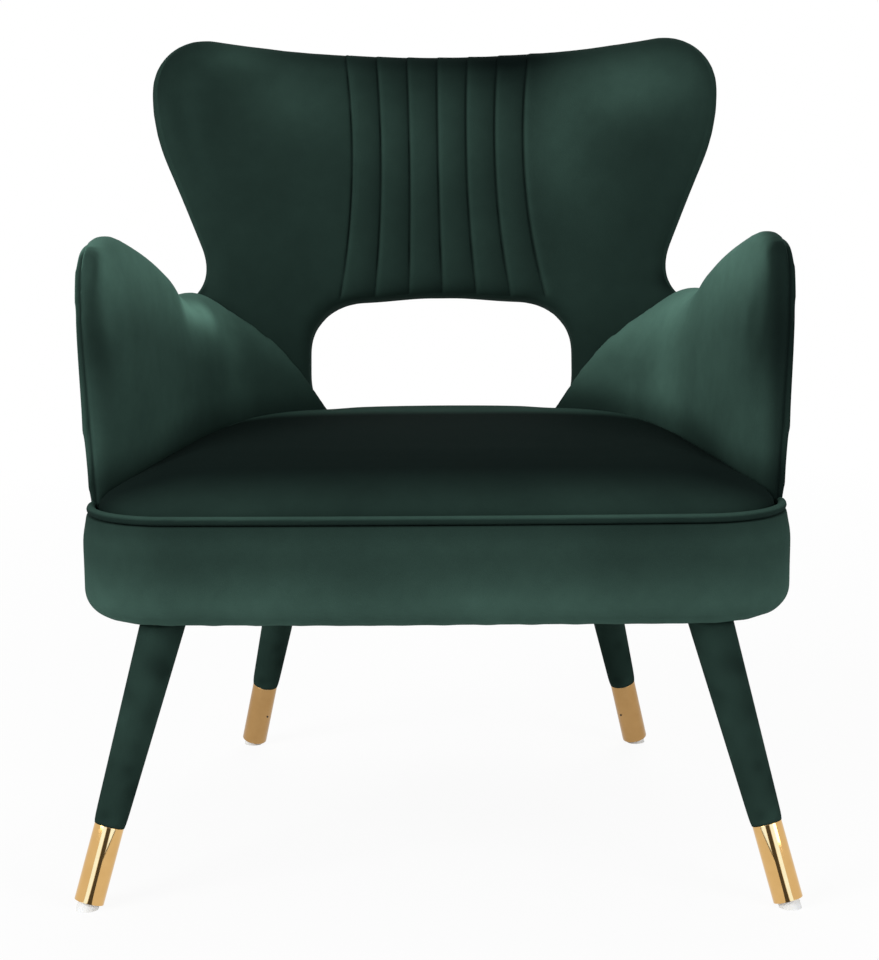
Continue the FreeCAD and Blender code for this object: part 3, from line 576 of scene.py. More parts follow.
def from_bench(points):
    straight, depth, height = points.T
    across = straight * lane_stretch(straight, height)
    depth_line = np.sqrt((DRUM_RADIUS + depth) ** 2 - across ** 2) - DRUM_RADIUS
    behind = depth_line * tilt_cos + height * tilt_sin
    above = height * tilt_cos - depth_line * tilt_sin
    return np.stack([across, behind, above], axis=1) + BACK_SPOT


trial = points_of(frame["nodes"]["back_front_cover"].data)
print("bench and back agree to", np.abs(from_bench(to_bench(trial)) - trial).max() / MM, "mm")

# %% [markdown]
# ## The back
# The back's cover is stitched through its padding along seven lines, and the cloth between
# two lines is tucked over the next one, so every line has a sharp fold on its right side and
# a slope on its left. The shape of foam, panel and covers is copied, the grooves of the copy
# are filled with thin bars, and the folds are then sewn into the smooth pad.

# %% Pad of the back
SEAT_LINE = 0.3734
BACK_VOXEL = 4 * MM
OPENING_TOP = 0.141
BACK_TOP = 0.432
PLUG_HALF_WIDTH = 5.2 * MM
PLUG_DEPTH = 12 * MM
PLUG_MARGIN = 19 * MM

lane_places = [(index - LANE_COUNT // 2) * LANE_PITCH for index in range(LANE_COUNT)]


def groove_plug(across):
    # A bar that fills one groove, flush with the front face
    form = bmesh.new()
    bmesh.ops.create_cube(form, size=1)
    low = OPENING_TOP + PLUG_MARGIN
    high = BACK_TOP - PLUG_MARGIN
    stretch = Vector((2 * PLUG_HALF_WIDTH, PLUG_DEPTH, high - low))
    middle = Vector((across, PLUG_DEPTH / 2, (low + high) / 2))
    bmesh.ops.scale(form, vec=stretch, verts=form.verts)
    bmesh.ops.translate(form, vec=middle, verts=form.verts)
    return form


def back_pad():
    soft = ("back_front_cover", "back_front_foam", "back_rear_foam", "back_rear_cover")
    whole = joined([frame_copy(node) for node in soft] + [trimmed_copy("back_panel", SEAT_LINE)])
    pad = new_piece("back_upholstery", whole)
    set_points(pad.data, to_bench(points_of(pad.data)))
    plugs = joined([groove_plug(across) for across in lane_places])
    plugs.from_mesh(pad.data)
    plugs.to_mesh(pad.data)
    plugs.free()
    remesh(pad, BACK_VOXEL)
    return pad


back = back_pad()
print("back pad:", len(back.data.vertices), "points on the bench")

# %% Swelling of the back
BACK_SIDE = 14 * MM
BACK_FOOT = -0.03
STITCH_DEPTH = 10 * MM
STITCH_HELD = 3 * MM
SWELL_MOST = 4 * MM
LINE_DRIFT = (2.9 * MM, -2.2 * MM, -3.0 * MM)
LINE_SPREAD = (1.6 * MM, -0.6 * MM, 1.6 * MM)
FAR = 1.0


def line_gaps(across, height):
    # How far each point lies right of each stitched line. The lines were sewn by hand, so they
    # drift and spread a little on their way up
    drift = up_the_lanes(height, LINE_DRIFT)
    spread = up_the_lanes(height, LINE_SPREAD) / LANE_PITCH
    return np.stack([across - place - drift - spread * place for place in lane_places])


def beside_lines(gaps):
    # How far right of the nearest line on the left, and how far left of the next one
    right = np.where(gaps >= 0, gaps, FAR).min(axis=0)
    left = np.where(gaps < 0, -gaps, FAR).min(axis=0)
    return right, left


def at_line_ends(bench):
    # 1 on the front just above the opening, where the bars in the grooves end
    across, depth, height = bench.T
    low = eased(height, OPENING_TOP + 34 * MM, OPENING_TOP + 18 * MM)
    low *= eased(height, OPENING_TOP - 30 * MM, OPENING_TOP)
    return low * eased(depth, 24 * MM, 12 * MM) * eased(np.abs(across), 0.140, 0.125)


def back_held(bench):
    # The sides, the foot and the stitched lines stay in place
    across, depth, height = bench.T
    from_line = np.minimum(*beside_lines(line_gaps(across, height)))
    stitched = (height > OPENING_TOP) & (depth < STITCH_DEPTH) & (from_line < STITCH_HELD)
    return (depth > BACK_SIDE) | (height < BACK_FOOT) | stitched


smooth_bench = relaxed(points_of(back.data), edges_of(back.data), 4, 0.4)
smooth_bench = relaxed(smooth_bench, edges_of(back.data), 14, 0.5 * at_line_ends(smooth_bench))
set_points(back.data, smooth_bench)
swell(back, 3.0, SWELL_MOST, back_held(smooth_bench))
subdivide(back)
print("back finer:", len(back.data.vertices), "points")

# %% Cover of the back
OPENING_HALF_WIDTH = 0.158
OPENING_DRAW_IN = 3.2 * MM
OPENING_CORNER = 22 * MM
OPENING_ARCH = 2.5 * MM
OPENING_ENDS = 6 * MM
LEFT_WING_DRIFT = 7 * MM
RIGHT_WING_DRIFT = 3.5 * MM
WAIST_DRAW_IN = 1 * MM
WING_LIFT = 2.5 * MM


def narrow_opening(bench):
    # The cover draws the sides and the upper corners of the opening a little inwards, so its
    # upper edge is slightly arched
    across, _, height = bench.T
    side = np.sign(across)
    width = np.abs(across)
    below = eased(height, OPENING_TOP + 30 * MM, OPENING_TOP - 10 * MM)
    beside = bump(width, OPENING_HALF_WIDTH, OPENING_CORNER) * below
    corner_across = width - OPENING_HALF_WIDTH + 12 * MM
    corner_up = height - OPENING_TOP + 8 * MM
    corner = bump(np.hypot(corner_across, corner_up), 0, OPENING_CORNER)
    across -= side * OPENING_DRAW_IN * (beside + 0.6 * corner)
    height -= 1.6 * OPENING_DRAW_IN * corner
    arch = OPENING_ARCH - OPENING_ENDS * eased(width, 0.01, 0.095)
    height += arch * bump(height, OPENING_TOP, 18 * MM) * eased(width, 0.160, 0.120)


def draw_wings(bench):
    # The cover was pulled by hand: it sits a little to the left, tight at the waist and full
    # in the wings
    across, _, height = bench.T
    side = np.sign(across)
    past_lanes = eased(np.abs(across), 0.15, 0.28)
    at_waist = bump(height, 0.26, 0.06)
    drift = np.where(side < 0, LEFT_WING_DRIFT, RIGHT_WING_DRIFT)
    across -= (drift + side * WAIST_DRAW_IN * at_waist) * past_lanes
    height += WING_LIFT * eased(height, 0.30, 0.44) * (0.6 + 0.6 * past_lanes)


def rim_distance(bench):
    # Distance of each point from the side walls of the pad, seen from the front
    flat = bench * np.array((1, 0, 1))
    wall = flat[(bench[:, 1] > 24 * MM) & (bench[:, 1] < 38 * MM)]
    tree = KDTree(len(wall))
    for index, point in enumerate(wall):
        tree.insert(point, index)
    tree.balance()
    return np.array([tree.find(point)[2] for point in flat])


# %% Folds of the back
FOLD_REACH = 10 * MM
FOLD_RISE = 3.2 * MM
FOLD_LENGTH = 13 * MM
FOLD_EDGE = 0.7 * MM
FOLD_SLOPE = 1.8 * MM
SLOPE_LENGTH = 6 * MM
FOLD_CREASE = 1.2 * MM
CREASE_WIDTH = 1.0 * MM
PINCH_DEPTH = 1.3 * MM
PINCH_PLACE = 4.6 * MM
VALLEY_DEPTH = 3.0 * MM
SEAM_DEPTH = 44 * MM
SEAM_SIZE = 1.4 * MM


def fold_height(gaps, height):
    # Rise of the cloth beside a stitched line: sharp on the right, sloping on the left. The
    # first line is sewn twice
    right, left = beside_lines(gaps)
    edge = np.exp(-right / FOLD_EDGE)
    fold = FOLD_RISE * np.exp(-right / FOLD_LENGTH) * (1 - edge)
    slope = FOLD_SLOPE * (np.exp(-left / SLOPE_LENGTH) + edge)
    crease = FOLD_CREASE * bump(np.minimum(right, left), 0, CREASE_WIDTH)
    pinch = PINCH_DEPTH * eased(height, 0.20, 0.26) * bump(gaps[0], PINCH_PLACE, CREASE_WIDTH)
    return fold - slope - crease - pinch


def sew_back():
    bench = points_of(back.data)
    normals = normals_of(back.data)
    narrow_opening(bench)
    draw_wings(bench)
    across, depth, height = bench.T
    width = np.abs(across)
    right, left = beside_lines(line_gaps(across, height))
    offset = np.where(right < left, right, -left)
    front = eased(depth, 20 * MM, 6 * MM)
    lanes = front * eased(height, OPENING_TOP - 12 * MM, OPENING_TOP + 2 * MM)
    near = np.clip(np.abs(offset) / FOLD_REACH, 0, 1)
    drawn = np.sign(offset) * FOLD_REACH * near * (0.45 + 0.55 * near ** 1.2)
    drawn = np.where(np.abs(offset) < FOLD_REACH, drawn, offset)
    across += (drawn - offset) * lanes
    calm = 0.55 + 0.45 * eased(height, BACK_TOP - 4 * MM, BACK_TOP - 45 * MM)
    calm *= 0.40 + 0.60 * eased(height, OPENING_TOP + 4 * MM, OPENING_TOP + 50 * MM)
    rise = fold_height(line_gaps(across, height), height) * lanes * eased(width, 0.175, 0.125) * calm
    rim = rim_distance(bench)
    upper = eased(height, 0.22, 0.36) * eased(width, 0.16, 0.26)
    valley = VALLEY_DEPTH * bump(rim, 34 * MM, 13 * MM) * front * upper
    seam = SEAM_SIZE * bump(depth, SEAM_DEPTH, SEAM_SIZE) * eased(rim, 8 * MM, 2 * MM)
    bench += normals * (rise - valley - seam)[:, None]
    set_points(back.data, from_bench(bench))
    return bench, rim, front


back_bench, back_rim, back_front = sew_back()
print("back sewn, rim reaches", round(float(back_rim.max()), 3), "m")

# %% Nap and painted light of the back
BACK_NAP = 0.125
BACK_REAR_NAP = 0.16
BACK_ROLL_SHADE = 0.05
LANE_SHADE = 0.70
FOLD_LIGHT = 0.22
# Spots on the back, partly pile marks and partly painted light and shade: the right wing painted lighter
# where it faces the main lamp, the top painted darker, and painted shadow low beside each notch of the arms
BACK_PILE_MARKS_AND_PAINTED_LIGHT = (
    (-0.238, 0.425, 0.035, 0.020, 0.15),
    (-0.175, 0.380, 0.055, 0.040, 0.10),
    (0.150, 0.330, 0.034, 0.070, 0.11),
    (0.225, 0.380, 0.075, 0.042, 0.19),
    (0.100, 0.415, 0.060, 0.028, -0.07),
    (0.000, 0.415, 0.130, 0.028, -0.05),
    (0.000, 0.335, 0.120, 0.050, 0.05),
    (0.282, 0.152, 0.026, 0.015, -0.13),
    (-0.285, 0.143, 0.012, 0.009, -0.08),
)


def back_nap_and_painted_light():
    # Painted shade in the top roll and low down; painted light right of each stitched line, where each
    # tuck faces the main lamp, fading to painted shade at the next; a painted highlight on each fold
    # and painted shade in each crease
    across, _, height = back_bench.T
    gaps = line_gaps(across, height)
    right, left = (np.minimum(gap, LANE_PITCH) for gap in beside_lines(gaps))
    nap_and_painted_light = BACK_NAP + pile_marks_and_painted_light(across, height, BACK_PILE_MARKS_AND_PAINTED_LIGHT)
    nap_and_painted_light -= BACK_ROLL_SHADE * eased(back_rim, 30 * MM, 8 * MM) * eased(height, 0.34, 0.40)
    in_lanes = back_front * eased(height, OPENING_TOP - 6 * MM, OPENING_TOP + 2 * MM)
    in_lanes *= eased(gaps[0], -4 * MM, 0) * eased(gaps[-1], 12 * MM, 2 * MM)
    fading = LANE_SHADE * (0.45 - right / (right + left))
    nap_and_painted_light *= 1 + (fading + FOLD_LIGHT * bump(right, 3.5 * MM, 2.2 * MM)) * in_lanes
    line = 0.45 + 0.55 * eased(height, OPENING_TOP + 4 * MM, OPENING_TOP + 50 * MM)
    nap_and_painted_light *= 1 - LANE_SHADE * line * bump(np.minimum(right, left), 0, CREASE_WIDTH) * in_lanes
    return np.where(back_front > 0.5, nap_and_painted_light, BACK_REAR_NAP)


dress_in_velvet(back, back_nap_and_painted_light())
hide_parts("back_front_cover", "back_front_foam", "back_rear_foam", "back_rear_cover")
print("back dressed")

# %% [markdown]
# ## The arms
# Each arm is a bent board with foam on it. Its inner cover comes over the ridge and round
# the nose, and a separate outer cover is sewn to it along the outer edge. The seam is found
# from the frame: it is where a point lies as near to the outer cover as to the inner one.

# %% Pads of the arms
ARM_VOXEL = 4 * MM
ARM_HEM = 5 * MM
WADDING_STEP = 1.2 * MM
WADDING_LAYERS = 8


def wadding(node, shift):
    # A copy of a cover, moved inwards, that fills the hollow behind it
    form = frame_copy(node)
    bmesh.ops.translate(form, vec=(shift, 0, 0), verts=form.verts)
    return form


def arm_pad(side, hand):
    soft = ["%s_arm_%s" % (side, part) for part in ("foam", "inner_cover", "outer_cover")]
    layers = [frame_copy(node) for node in soft]
    layers += [wadding(soft[2], -hand * WADDING_STEP * (layer + 1)) for layer in range(WADDING_LAYERS)]
    layers.append(trimmed_copy(side + "_arm_panel", SEAT_LINE))
    pad = new_piece(side + "_arm_upholstery", joined(layers))
    remesh(pad, ARM_VOXEL)
    points = relaxed(points_of(pad.data), edges_of(pad.data), 14, 0.4)
    points[:, 2] -= ARM_HEM * eased(points[:, 2], SEAT_LINE + 16 * MM, SEAT_LINE + 3 * MM)
    set_points(pad.data, points)
    return pad, soft


# %% Seam and notch of the arms
ARM_SEAM_DEPTH = 3.0 * MM
ARM_SEAM_WIDTH = 2.2 * MM
ARM_NOTCH = (np.array((0.277, 0.052, 0.564)), np.array((0.318, 0.150, 0.565)))
ARM_NOTCH_DEPTH = {-1: 14 * MM, 1: 11 * MM}
ARM_NOTCH_REACH = 31 * MM


def distances(node, points):
    # Distance of each point from a node of the frame
    form = frame_copy(node)
    tree = BVHTree.FromBMesh(form)
    form.free()
    return np.array([tree.find_nearest(point)[3] for point in points])


def from_seam(pad, side):
    # Below 0 on the outer cover, above 0 on the inner one
    points = points_of(pad.data)
    return distances(side + "_arm_outer_cover", points) - distances(side + "_arm_inner_cover", points)


def from_stretch(points, start, end):
    # Distance of each point from a straight stretch between two places
    along = end - start
    share = np.clip((points - start) @ along / (along @ along), 0, 1)
    return np.linalg.norm(points - start - share[:, None] * along, axis=1)


# %% Nap and painted light of the arms
ARM_NAP = 0.33
ARM_SHOULDER = (np.array((0.279, 0.042, 0.556)), np.array((0.262, 0.100, 0.540)))
ARM_SHOULDER_LIGHT = {-1: 1.3, 1: 0.05}
ARM_HOLLOW = np.array((0.270, 0.060, 0.455))
ARM_HOLLOW_LIGHT = {-1: -0.04, 1: 0.24}
ARM_RIDGE_PLACES = (-0.22, -0.168, -0.077, 0.053, 0.17, 0.20)
ARM_RIDGE_HEIGHTS = (0.62, 0.640, 0.624, 0.585, 0.556, 0.530)
ARM_RIDGE_LIGHT = {-1: 0.58, 1: 0.36}
ARM_NOSE_SHADE = 0.72
ARM_NOSE_TURN = {-1: (-0.30, -0.75), 1: (-0.20, -0.60)}
ARM_CREVICE = 0.394
ARM_CREVICE_RISE = 0.020
ARM_CREVICE_SHADE = 0.60
LEFT_COLLAR_SHADE = 0.45
RIGHT_REAR_LIGHT = 0.50
RIGHT_FLANK_LIGHT = 0.16
RIGHT_LIP_SHADE = 0.75
RIGHT_FOOT_SHADE = 0.55


def arm_nap_and_painted_light(points, normals, hand):
    # Painted highlights on the ridge and on the shoulder at the notch; painted shade at the nose, in
    # the crevice, at the left collar and at the right lip and foot; the right arm painted lighter where
    # it faces the main lamp
    beside = points * np.array((hand, 1, 1))
    across, behind, height = beside.T
    ridge = np.interp(behind, ARM_RIDGE_PLACES, ARM_RIDGE_HEIGHTS)
    hollow = np.linalg.norm(beside - ARM_HOLLOW, axis=1)
    nap_and_painted_light = ARM_NAP + ARM_RIDGE_LIGHT[hand] * eased(ridge - height, 0.105, 0.005)
    nap_and_painted_light += ARM_SHOULDER_LIGHT[hand] * bump(from_stretch(beside, *ARM_SHOULDER), 0, 0.020)
    nap_and_painted_light += ARM_HOLLOW_LIGHT[hand] * bump(hollow, 0, 0.070)
    if hand < 0:
        nap_and_painted_light *= 1 - LEFT_COLLAR_SHADE * eased(across, 0.262, 0.225) * eased(behind, 0.12, 0.17)
    else:
        nap_and_painted_light *= 1 + RIGHT_REAR_LIGHT * eased(behind, -0.03, 0.10)
        nap_and_painted_light += RIGHT_FLANK_LIGHT * bump(behind, -0.06, 0.09) * eased(height, 0.41, 0.47)
        nap_and_painted_light *= 1 - RIGHT_LIP_SHADE * eased(across, 0.318, 0.336) * eased(behind, -0.13, -0.17)
        nap_and_painted_light *= 1 - RIGHT_FOOT_SHADE * eased(across, 0.225, 0.180) * eased(height, 0.470, 0.425)
    nose = eased(normals[:, 1], *ARM_NOSE_TURN[hand]) * eased(behind, -0.14, -0.19)
    nap_and_painted_light *= 1 - ARM_NOSE_SHADE * nose * (0.15 + 0.85 * eased(height, 0.43, 0.56))
    crevice = ARM_CREVICE + ARM_CREVICE_RISE * eased(behind, -0.20, 0.0)
    nap_and_painted_light *= 1 - ARM_CREVICE_SHADE * eased(height, crevice + 0.040, crevice)
    return nap_and_painted_light


# %% Arms
def make_arm(side, hand):
    pad, soft = arm_pad(side, hand)
    points = points_of(pad.data)
    from_notch = from_stretch(points * np.array((hand, 1, 1)), *ARM_NOTCH)
    points[:, 2] -= ARM_NOTCH_DEPTH[hand] * bump(from_notch, 0, ARM_NOTCH_REACH)
    set_points(pad.data, points)
    at_back = to_bench(points)[:, 1] > -8 * MM
    held = (points[:, 2] < SEAT_LINE + 12 * MM) | (from_seam(pad, side) < 3 * MM) | at_back
    swell(pad, 2.5, SWELL_MOST, held)
    subdivide(pad)
    seam = from_seam(pad, side)
    sunk = ARM_SEAM_DEPTH * bump(seam, 0, ARM_SEAM_WIDTH)
    points = points_of(pad.data) - normals_of(pad.data) * sunk[:, None]
    set_points(pad.data, points)
    nap_and_painted_light = arm_nap_and_painted_light(points, normals_of(pad.data), hand)
    # Painted shade along the sunk seam
    nap_and_painted_light *= 1 - 0.6 * bump(seam, 0, 1.2 * MM)
    dress_in_velvet(pad, nap_and_painted_light)
    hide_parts(*soft)
    return pad


arms = [make_arm(side, hand) for side, hand in HANDS.items()]
print("arms:", [len(arm.data.vertices) for arm in arms], "points")

# %% [markdown]
# ## The seat
# A tight seat: a crowned foam under one cover. The cover is pulled down all round, so the
# crown is highest in the middle and rolls over to the piping at its front edge.

# %% Seat cushion
SEAT_VOXEL = 5 * MM
SEAT_RIM_HEIGHT = 0.380
SEAT_PULL_DOWN = 0.14
SEAT_NAP = 0.012
SEAT_FRONT_LIGHT = 0.112
SEAT_SIDE_LIGHT = 0.015
SEAT_REAR_LIGHT = 0.30


def seat_nap_and_painted_light(points):
    # Dark on top, painted shade where the pile points up, with painted light on the front roll, a
    # painted sheen on the rear rim and a little painted light at the sides
    across, behind, _ = points.T
    nap_and_painted_light = SEAT_NAP + SEAT_FRONT_LIGHT * eased(behind, -0.260, -0.325)
    nap_and_painted_light += SEAT_SIDE_LIGHT * eased(np.abs(across), 0.26, 0.33)
    return nap_and_painted_light + SEAT_REAR_LIGHT * eased(behind, 0.035, 0.095)


seat = new_piece("seat_cushion", joined([frame_copy("seat_foam"), frame_copy("seat_top_cover")]))
remesh(seat, SEAT_VOXEL)
seat_points = relaxed(points_of(seat.data), edges_of(seat.data), 3, 0.4)
seat_points[:, 2] -= SEAT_PULL_DOWN * np.clip(seat_points[:, 2] - SEAT_RIM_HEIGHT, 0, None)
set_points(seat.data, seat_points)
swell(seat, 3.0, SWELL_MOST, points_of(seat.data)[:, 2] < SEAT_RIM_HEIGHT)
subdivide(seat)
dress_in_velvet(seat, seat_nap_and_painted_light(points_of(seat.data)))
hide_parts("seat_foam", "seat_top_cover")
print("seat:", len(seat.data.vertices), "points")

# %% [markdown]
# ## The border
# The border is a band of velvet round the drum of the seat. Its outline is read from the
# frame by slicing the border there, spaced evenly and then extruded row by row along the
# profile of the band: from its lip under the seat, round the lower roll and up to the piping.

# %% Outline of the drum
BORDER_SLICE = 0.320
BORDER_SPACING = 6 * MM


def sliced_outline(node, height):
    # The widest loop in which a level plane cuts a node
    form = frame_copy(node)
    cut = cut_level(form, height, False)
    edges = {item for item in cut["geom_cut"] if isinstance(item, bmesh.types.BMEdge)}
    loops = []
    while edges:
        edge = edges.pop()
        loop = [edge.verts[0], edge.verts[1]]
        while True:
            following = [item for item in loop[-1].link_edges if item in edges]
            if not following:
                break
            edges.discard(following[0])
            loop.append(following[0].other_vert(loop[-1]))
        loops.append(np.array([vert.co[:2] for vert in loop[:-1]]))
    form.free()
    return max(loops, key=lambda loop: np.ptp(loop[:, 0]))


def in_order(loop):
    # Starts a loop at its rear right corner and runs it anticlockwise, so that the border is
    # the same in every run
    following = np.roll(loop, -1, axis=0)
    if (loop[:, 0] * following[:, 1] - loop[:, 1] * following[:, 0]).sum() < 0:
        loop = loop[::-1]
    return np.roll(loop, -int(np.argmax(loop.sum(axis=1))), axis=0)


def evenly_spaced(loop, spacing):
    closed = np.vstack([loop, loop[:1]])
    runs = np.linalg.norm(np.diff(closed, axis=0), axis=1)
    travelled = np.concatenate([[0], np.cumsum(runs)])
    count = int(round(travelled[-1] / spacing))
    stops = np.linspace(0, travelled[-1], count, endpoint=False)
    return np.stack([np.interp(stops, travelled, closed[:, axis]) for axis in range(2)], axis=1)


drum = evenly_spaced(in_order(sliced_outline("seat_border_cover", BORDER_SLICE)), BORDER_SPACING)
tangent = np.roll(drum, -1, axis=0) - np.roll(drum, 1, axis=0)
outward = np.stack([tangent[:, 1], -tangent[:, 0]], axis=1)
outward /= np.linalg.norm(outward, axis=1, keepdims=True)
print("drum outline:", len(drum), "points")

# %% Border band
BORDER_BOTTOM = 0.273
BORDER_TOP = 0.373
BORDER_DRAW_IN = 4 * MM
BORDER_ROLL = 26 * MM
BORDER_LIP = 46 * MM
BORDER_FRONT_LIP = 13 * MM
BORDER_FRONT = -0.22
BORDER_CLOTH = 3 * MM
BORDER_WAVES = ((0.6 * MM, 83, 0.4), (0.4 * MM, 61, 1.9))


def border_profile():
    # Rows of (inset, height) from the lip under the seat up to the tuck below the piping
    rows = []
    for share in (0, 0.33, 0.66):
        rows.append((BORDER_LIP - share * (BORDER_LIP - BORDER_ROLL), BORDER_BOTTOM))
    for angle in range(90, -1, -10):
        turn = math.radians(angle)
        inset = BORDER_ROLL * (1 - math.cos(turn))
        rows.append((inset, BORDER_BOTTOM + BORDER_ROLL * (1 - math.sin(turn))))
    middle = (BORDER_BOTTOM + BORDER_ROLL + BORDER_TOP) / 2
    for height in np.linspace(BORDER_BOTTOM + BORDER_ROLL, BORDER_TOP - 3 * MM, 13)[1:]:
        rows.append((BORDER_DRAW_IN * eased(height, middle, BORDER_TOP) ** 2, height))
    rows.append((BORDER_DRAW_IN + 0.4 * MM, BORDER_TOP - 1.2 * MM))
    lip = np.where(drum[:, 1] < BORDER_FRONT, BORDER_FRONT_LIP, BORDER_LIP)
    for share in (0.12, 0.4, 0.7, 1.0):
        rows.append((BORDER_DRAW_IN + share * (lip - BORDER_DRAW_IN), BORDER_TOP - 0.3 * MM))
    return rows


def next_row(form, ring, edges):
    # Extrudes a ring of edges once, and finds the new point over each old one
    made = bmesh.ops.extrude_edge_only(form, edges=edges)["geom"]
    edges = [item for item in made if isinstance(item, bmesh.types.BMEdge) and item.is_boundary]
    fresh = {vert for edge in edges for vert in edge.verts}
    over = {}
    for vert in fresh:
        for edge in vert.link_edges:
            over[edge.other_vert(vert)] = vert
    return [over[vert] for vert in ring], edges


def border_band():
    form = bmesh.new()
    along = np.arange(len(drum)) * BORDER_SPACING
    wave = sum(rise * np.sin(along * rate + start) for rise, rate, start in BORDER_WAVES)
    ring = [form.verts.new((0, 0, 0)) for _ in drum]
    edges = [form.edges.new((ring[index - 1], ring[index])) for index in range(len(ring))]
    for number, (inset, height) in enumerate(border_profile()):
        if number:
            ring, edges = next_row(form, ring, edges)
        spots = drum - outward * np.reshape(inset, (-1, 1))
        low = eased(height, BORDER_BOTTOM + BORDER_ROLL, BORDER_BOTTOM)
        for vert, spot, shift in zip(ring, spots, wave):
            vert.co = (spot[0], spot[1], height + low * abs(shift))
    bmesh.ops.recalc_face_normals(form, faces=form.faces)
    return form


border = new_piece("seat_border", border_band())
border_heights = points_of(border.data)[:, 2]
border_held = (border_heights < BORDER_BOTTOM + 2 * MM) | (border_heights > BORDER_TOP - 3 * MM)
swell(border, 1.5, 3 * MM, border_held)
border_spread = (normals_of(border.data) * points_of(border.data))[:, :2].sum()
print("border faces outward:", border_spread > 0)

# %% Velvet of the border
BORDER_NAP = 0.21
BORDER_LOW_LIGHT = 0.17
BORDER_ROLL_LIGHT = 0.10
BORDER_END_LIGHT = 0.05
BORDER_TOP_SHADE = 0.30
BORDER_SHADES = ((0.07, 0.19, 0.09), (0.04, -0.19, 0.07))


def border_nap_and_painted_light(points):
    # Painted light towards the lower roll and on its edge, lighter at the ends, a painted shadow under
    # the piping and a darker patch on each half
    across, _, height = points.T
    nap_and_painted_light = BORDER_NAP + BORDER_LOW_LIGHT * eased(height, 0.345, 0.284)
    nap_and_painted_light += BORDER_ROLL_LIGHT * eased(height, 0.284, 0.276)
    nap_and_painted_light += BORDER_END_LIGHT * eased(np.abs(across), 0.24, 0.34)
    for shade, place, reach in BORDER_SHADES:
        nap_and_painted_light -= shade * bump(across, place, reach)
    return nap_and_painted_light * (1 - BORDER_TOP_SHADE * eased(height, 0.352, 0.372))


dress_in_velvet(border, border_nap_and_painted_light(points_of(border.data)))
thick = border.modifiers.new("cloth", "SOLIDIFY")
thick.thickness = BORDER_CLOTH
thick.offset = -1
add_finer(border)
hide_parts("seat_border_cover", "seat_border_padding")
print("border:", len(border.data.vertices), "points")

# %% [markdown]
# ## The piping
# A cord in a strip of bias-cut velvet runs along the front edge of the seat and under the
# arms. Its copy is remeshed finely and smoothed, so that it reads as one soft round cord.

# %% Piping
PIPING_VOXEL = 1.4 * MM
PIPING_NAP = 0.08
PIPING_TOP_LIGHT = 0.22

piping = new_piece("seat_piping_cord", frame_copy("seat_piping"))
remesh(piping, PIPING_VOXEL)
set_points(piping.data, relaxed(points_of(piping.data), edges_of(piping.data), 3, 0.4))
# Painted light on the upper side of the cord, which faces the lamps
piping_nap_and_painted_light = PIPING_NAP + PIPING_TOP_LIGHT * eased(normals_of(piping.data)[:, 2], 0.10, 0.80)
dress_in_velvet(piping, piping_nap_and_painted_light)
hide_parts("seat_piping")
print("piping:", len(piping.data.vertices), "points")

# %% [markdown]
# ## The legs
# Each leg is a turned core in a tight velvet sleeve, with a polished brass ferrule on its
# foot. Sleeve and ferrule are profiles spun round the leg's own axis. The sleeve ends level
# under the seat, so its rows are slid along the axis until the last one lies flat.

# %% Leg axes
LEG_TOP = 0.2717
LEG_LEAN = math.tan(math.radians(12))
LEG_FEET = {"front": (0.339, -0.3374), "rear": (0.235, 0.2276)}
LEG_SPLAY = {"front": math.tan(math.radians(15.25)), "rear": math.tan(math.radians(12.7))}
FERRULE_START = 7 * MM
FERRULE_LENGTH = 76 * MM
FERRULE_RADIUS = 14.5 * MM
FERRULE_WALL = 1 * MM
SLEEVE_FOOT_RADIUS = 15.6 * MM
SLEEVE_TOP_RADIUS = 21.75 * MM
SLEEVE_WALL = 1.5 * MM
LEG_LENGTH = 0.310
SPIN_STEPS = 96


def leg_place(end, hand):
    half, foot_y = LEG_FEET[end]
    lean = LEG_LEAN if end == "front" else -LEG_LEAN
    axis = Vector((-hand * LEG_SPLAY[end], lean, 1)).normalized()
    turn = Vector((0, 0, 1)).rotation_difference(axis).to_matrix().to_4x4()
    return Matrix.Translation((hand * half, foot_y, 0)) @ turn, axis


def spun(profile):
    # A closed profile of (radius, height) corners turned once round the axis
    form = bmesh.new()
    corners = [form.verts.new((radius, 0, height)) for radius, height in profile]
    edges = [form.edges.new((corners[index - 1], corners[index])) for index in range(len(corners))]
    bmesh.ops.spin(form, geom=corners + edges, cent=(0, 0, 0), axis=(0, 0, 1), angle=2 * math.pi,
                   steps=SPIN_STEPS, use_merge=True)
    bmesh.ops.recalc_face_normals(form, faces=form.faces)
    return form


# %% Leg sleeves
SLEEVE_ROWS = 60
SLEEVE_GAP = 0.3 * MM
SLEEVE_NAP = 0.15
HEM_ROLL = 0.8 * MM
HEM_ROWS = 1.2
BLOTCH_SEED = 5
BLOTCH_COUNT = 90

sleeve_foot = FERRULE_START + FERRULE_LENGTH + SLEEVE_GAP


def sleeve_profile():
    outer = []
    for row in range(SLEEVE_ROWS + 1):
        share = row / SLEEVE_ROWS
        height = sleeve_foot + share * (LEG_LENGTH - sleeve_foot)
        radius = SLEEVE_FOOT_RADIUS + share * (SLEEVE_TOP_RADIUS - SLEEVE_FOOT_RADIUS)
        rolled = HEM_ROLL * math.exp(-row / HEM_ROWS)
        outer.append((radius - rolled, height))
    inner_top = (SLEEVE_TOP_RADIUS - SLEEVE_WALL, LEG_LENGTH)
    inner_foot = (SLEEVE_FOOT_RADIUS - SLEEVE_WALL, sleeve_foot)
    return outer + [inner_top, inner_foot]


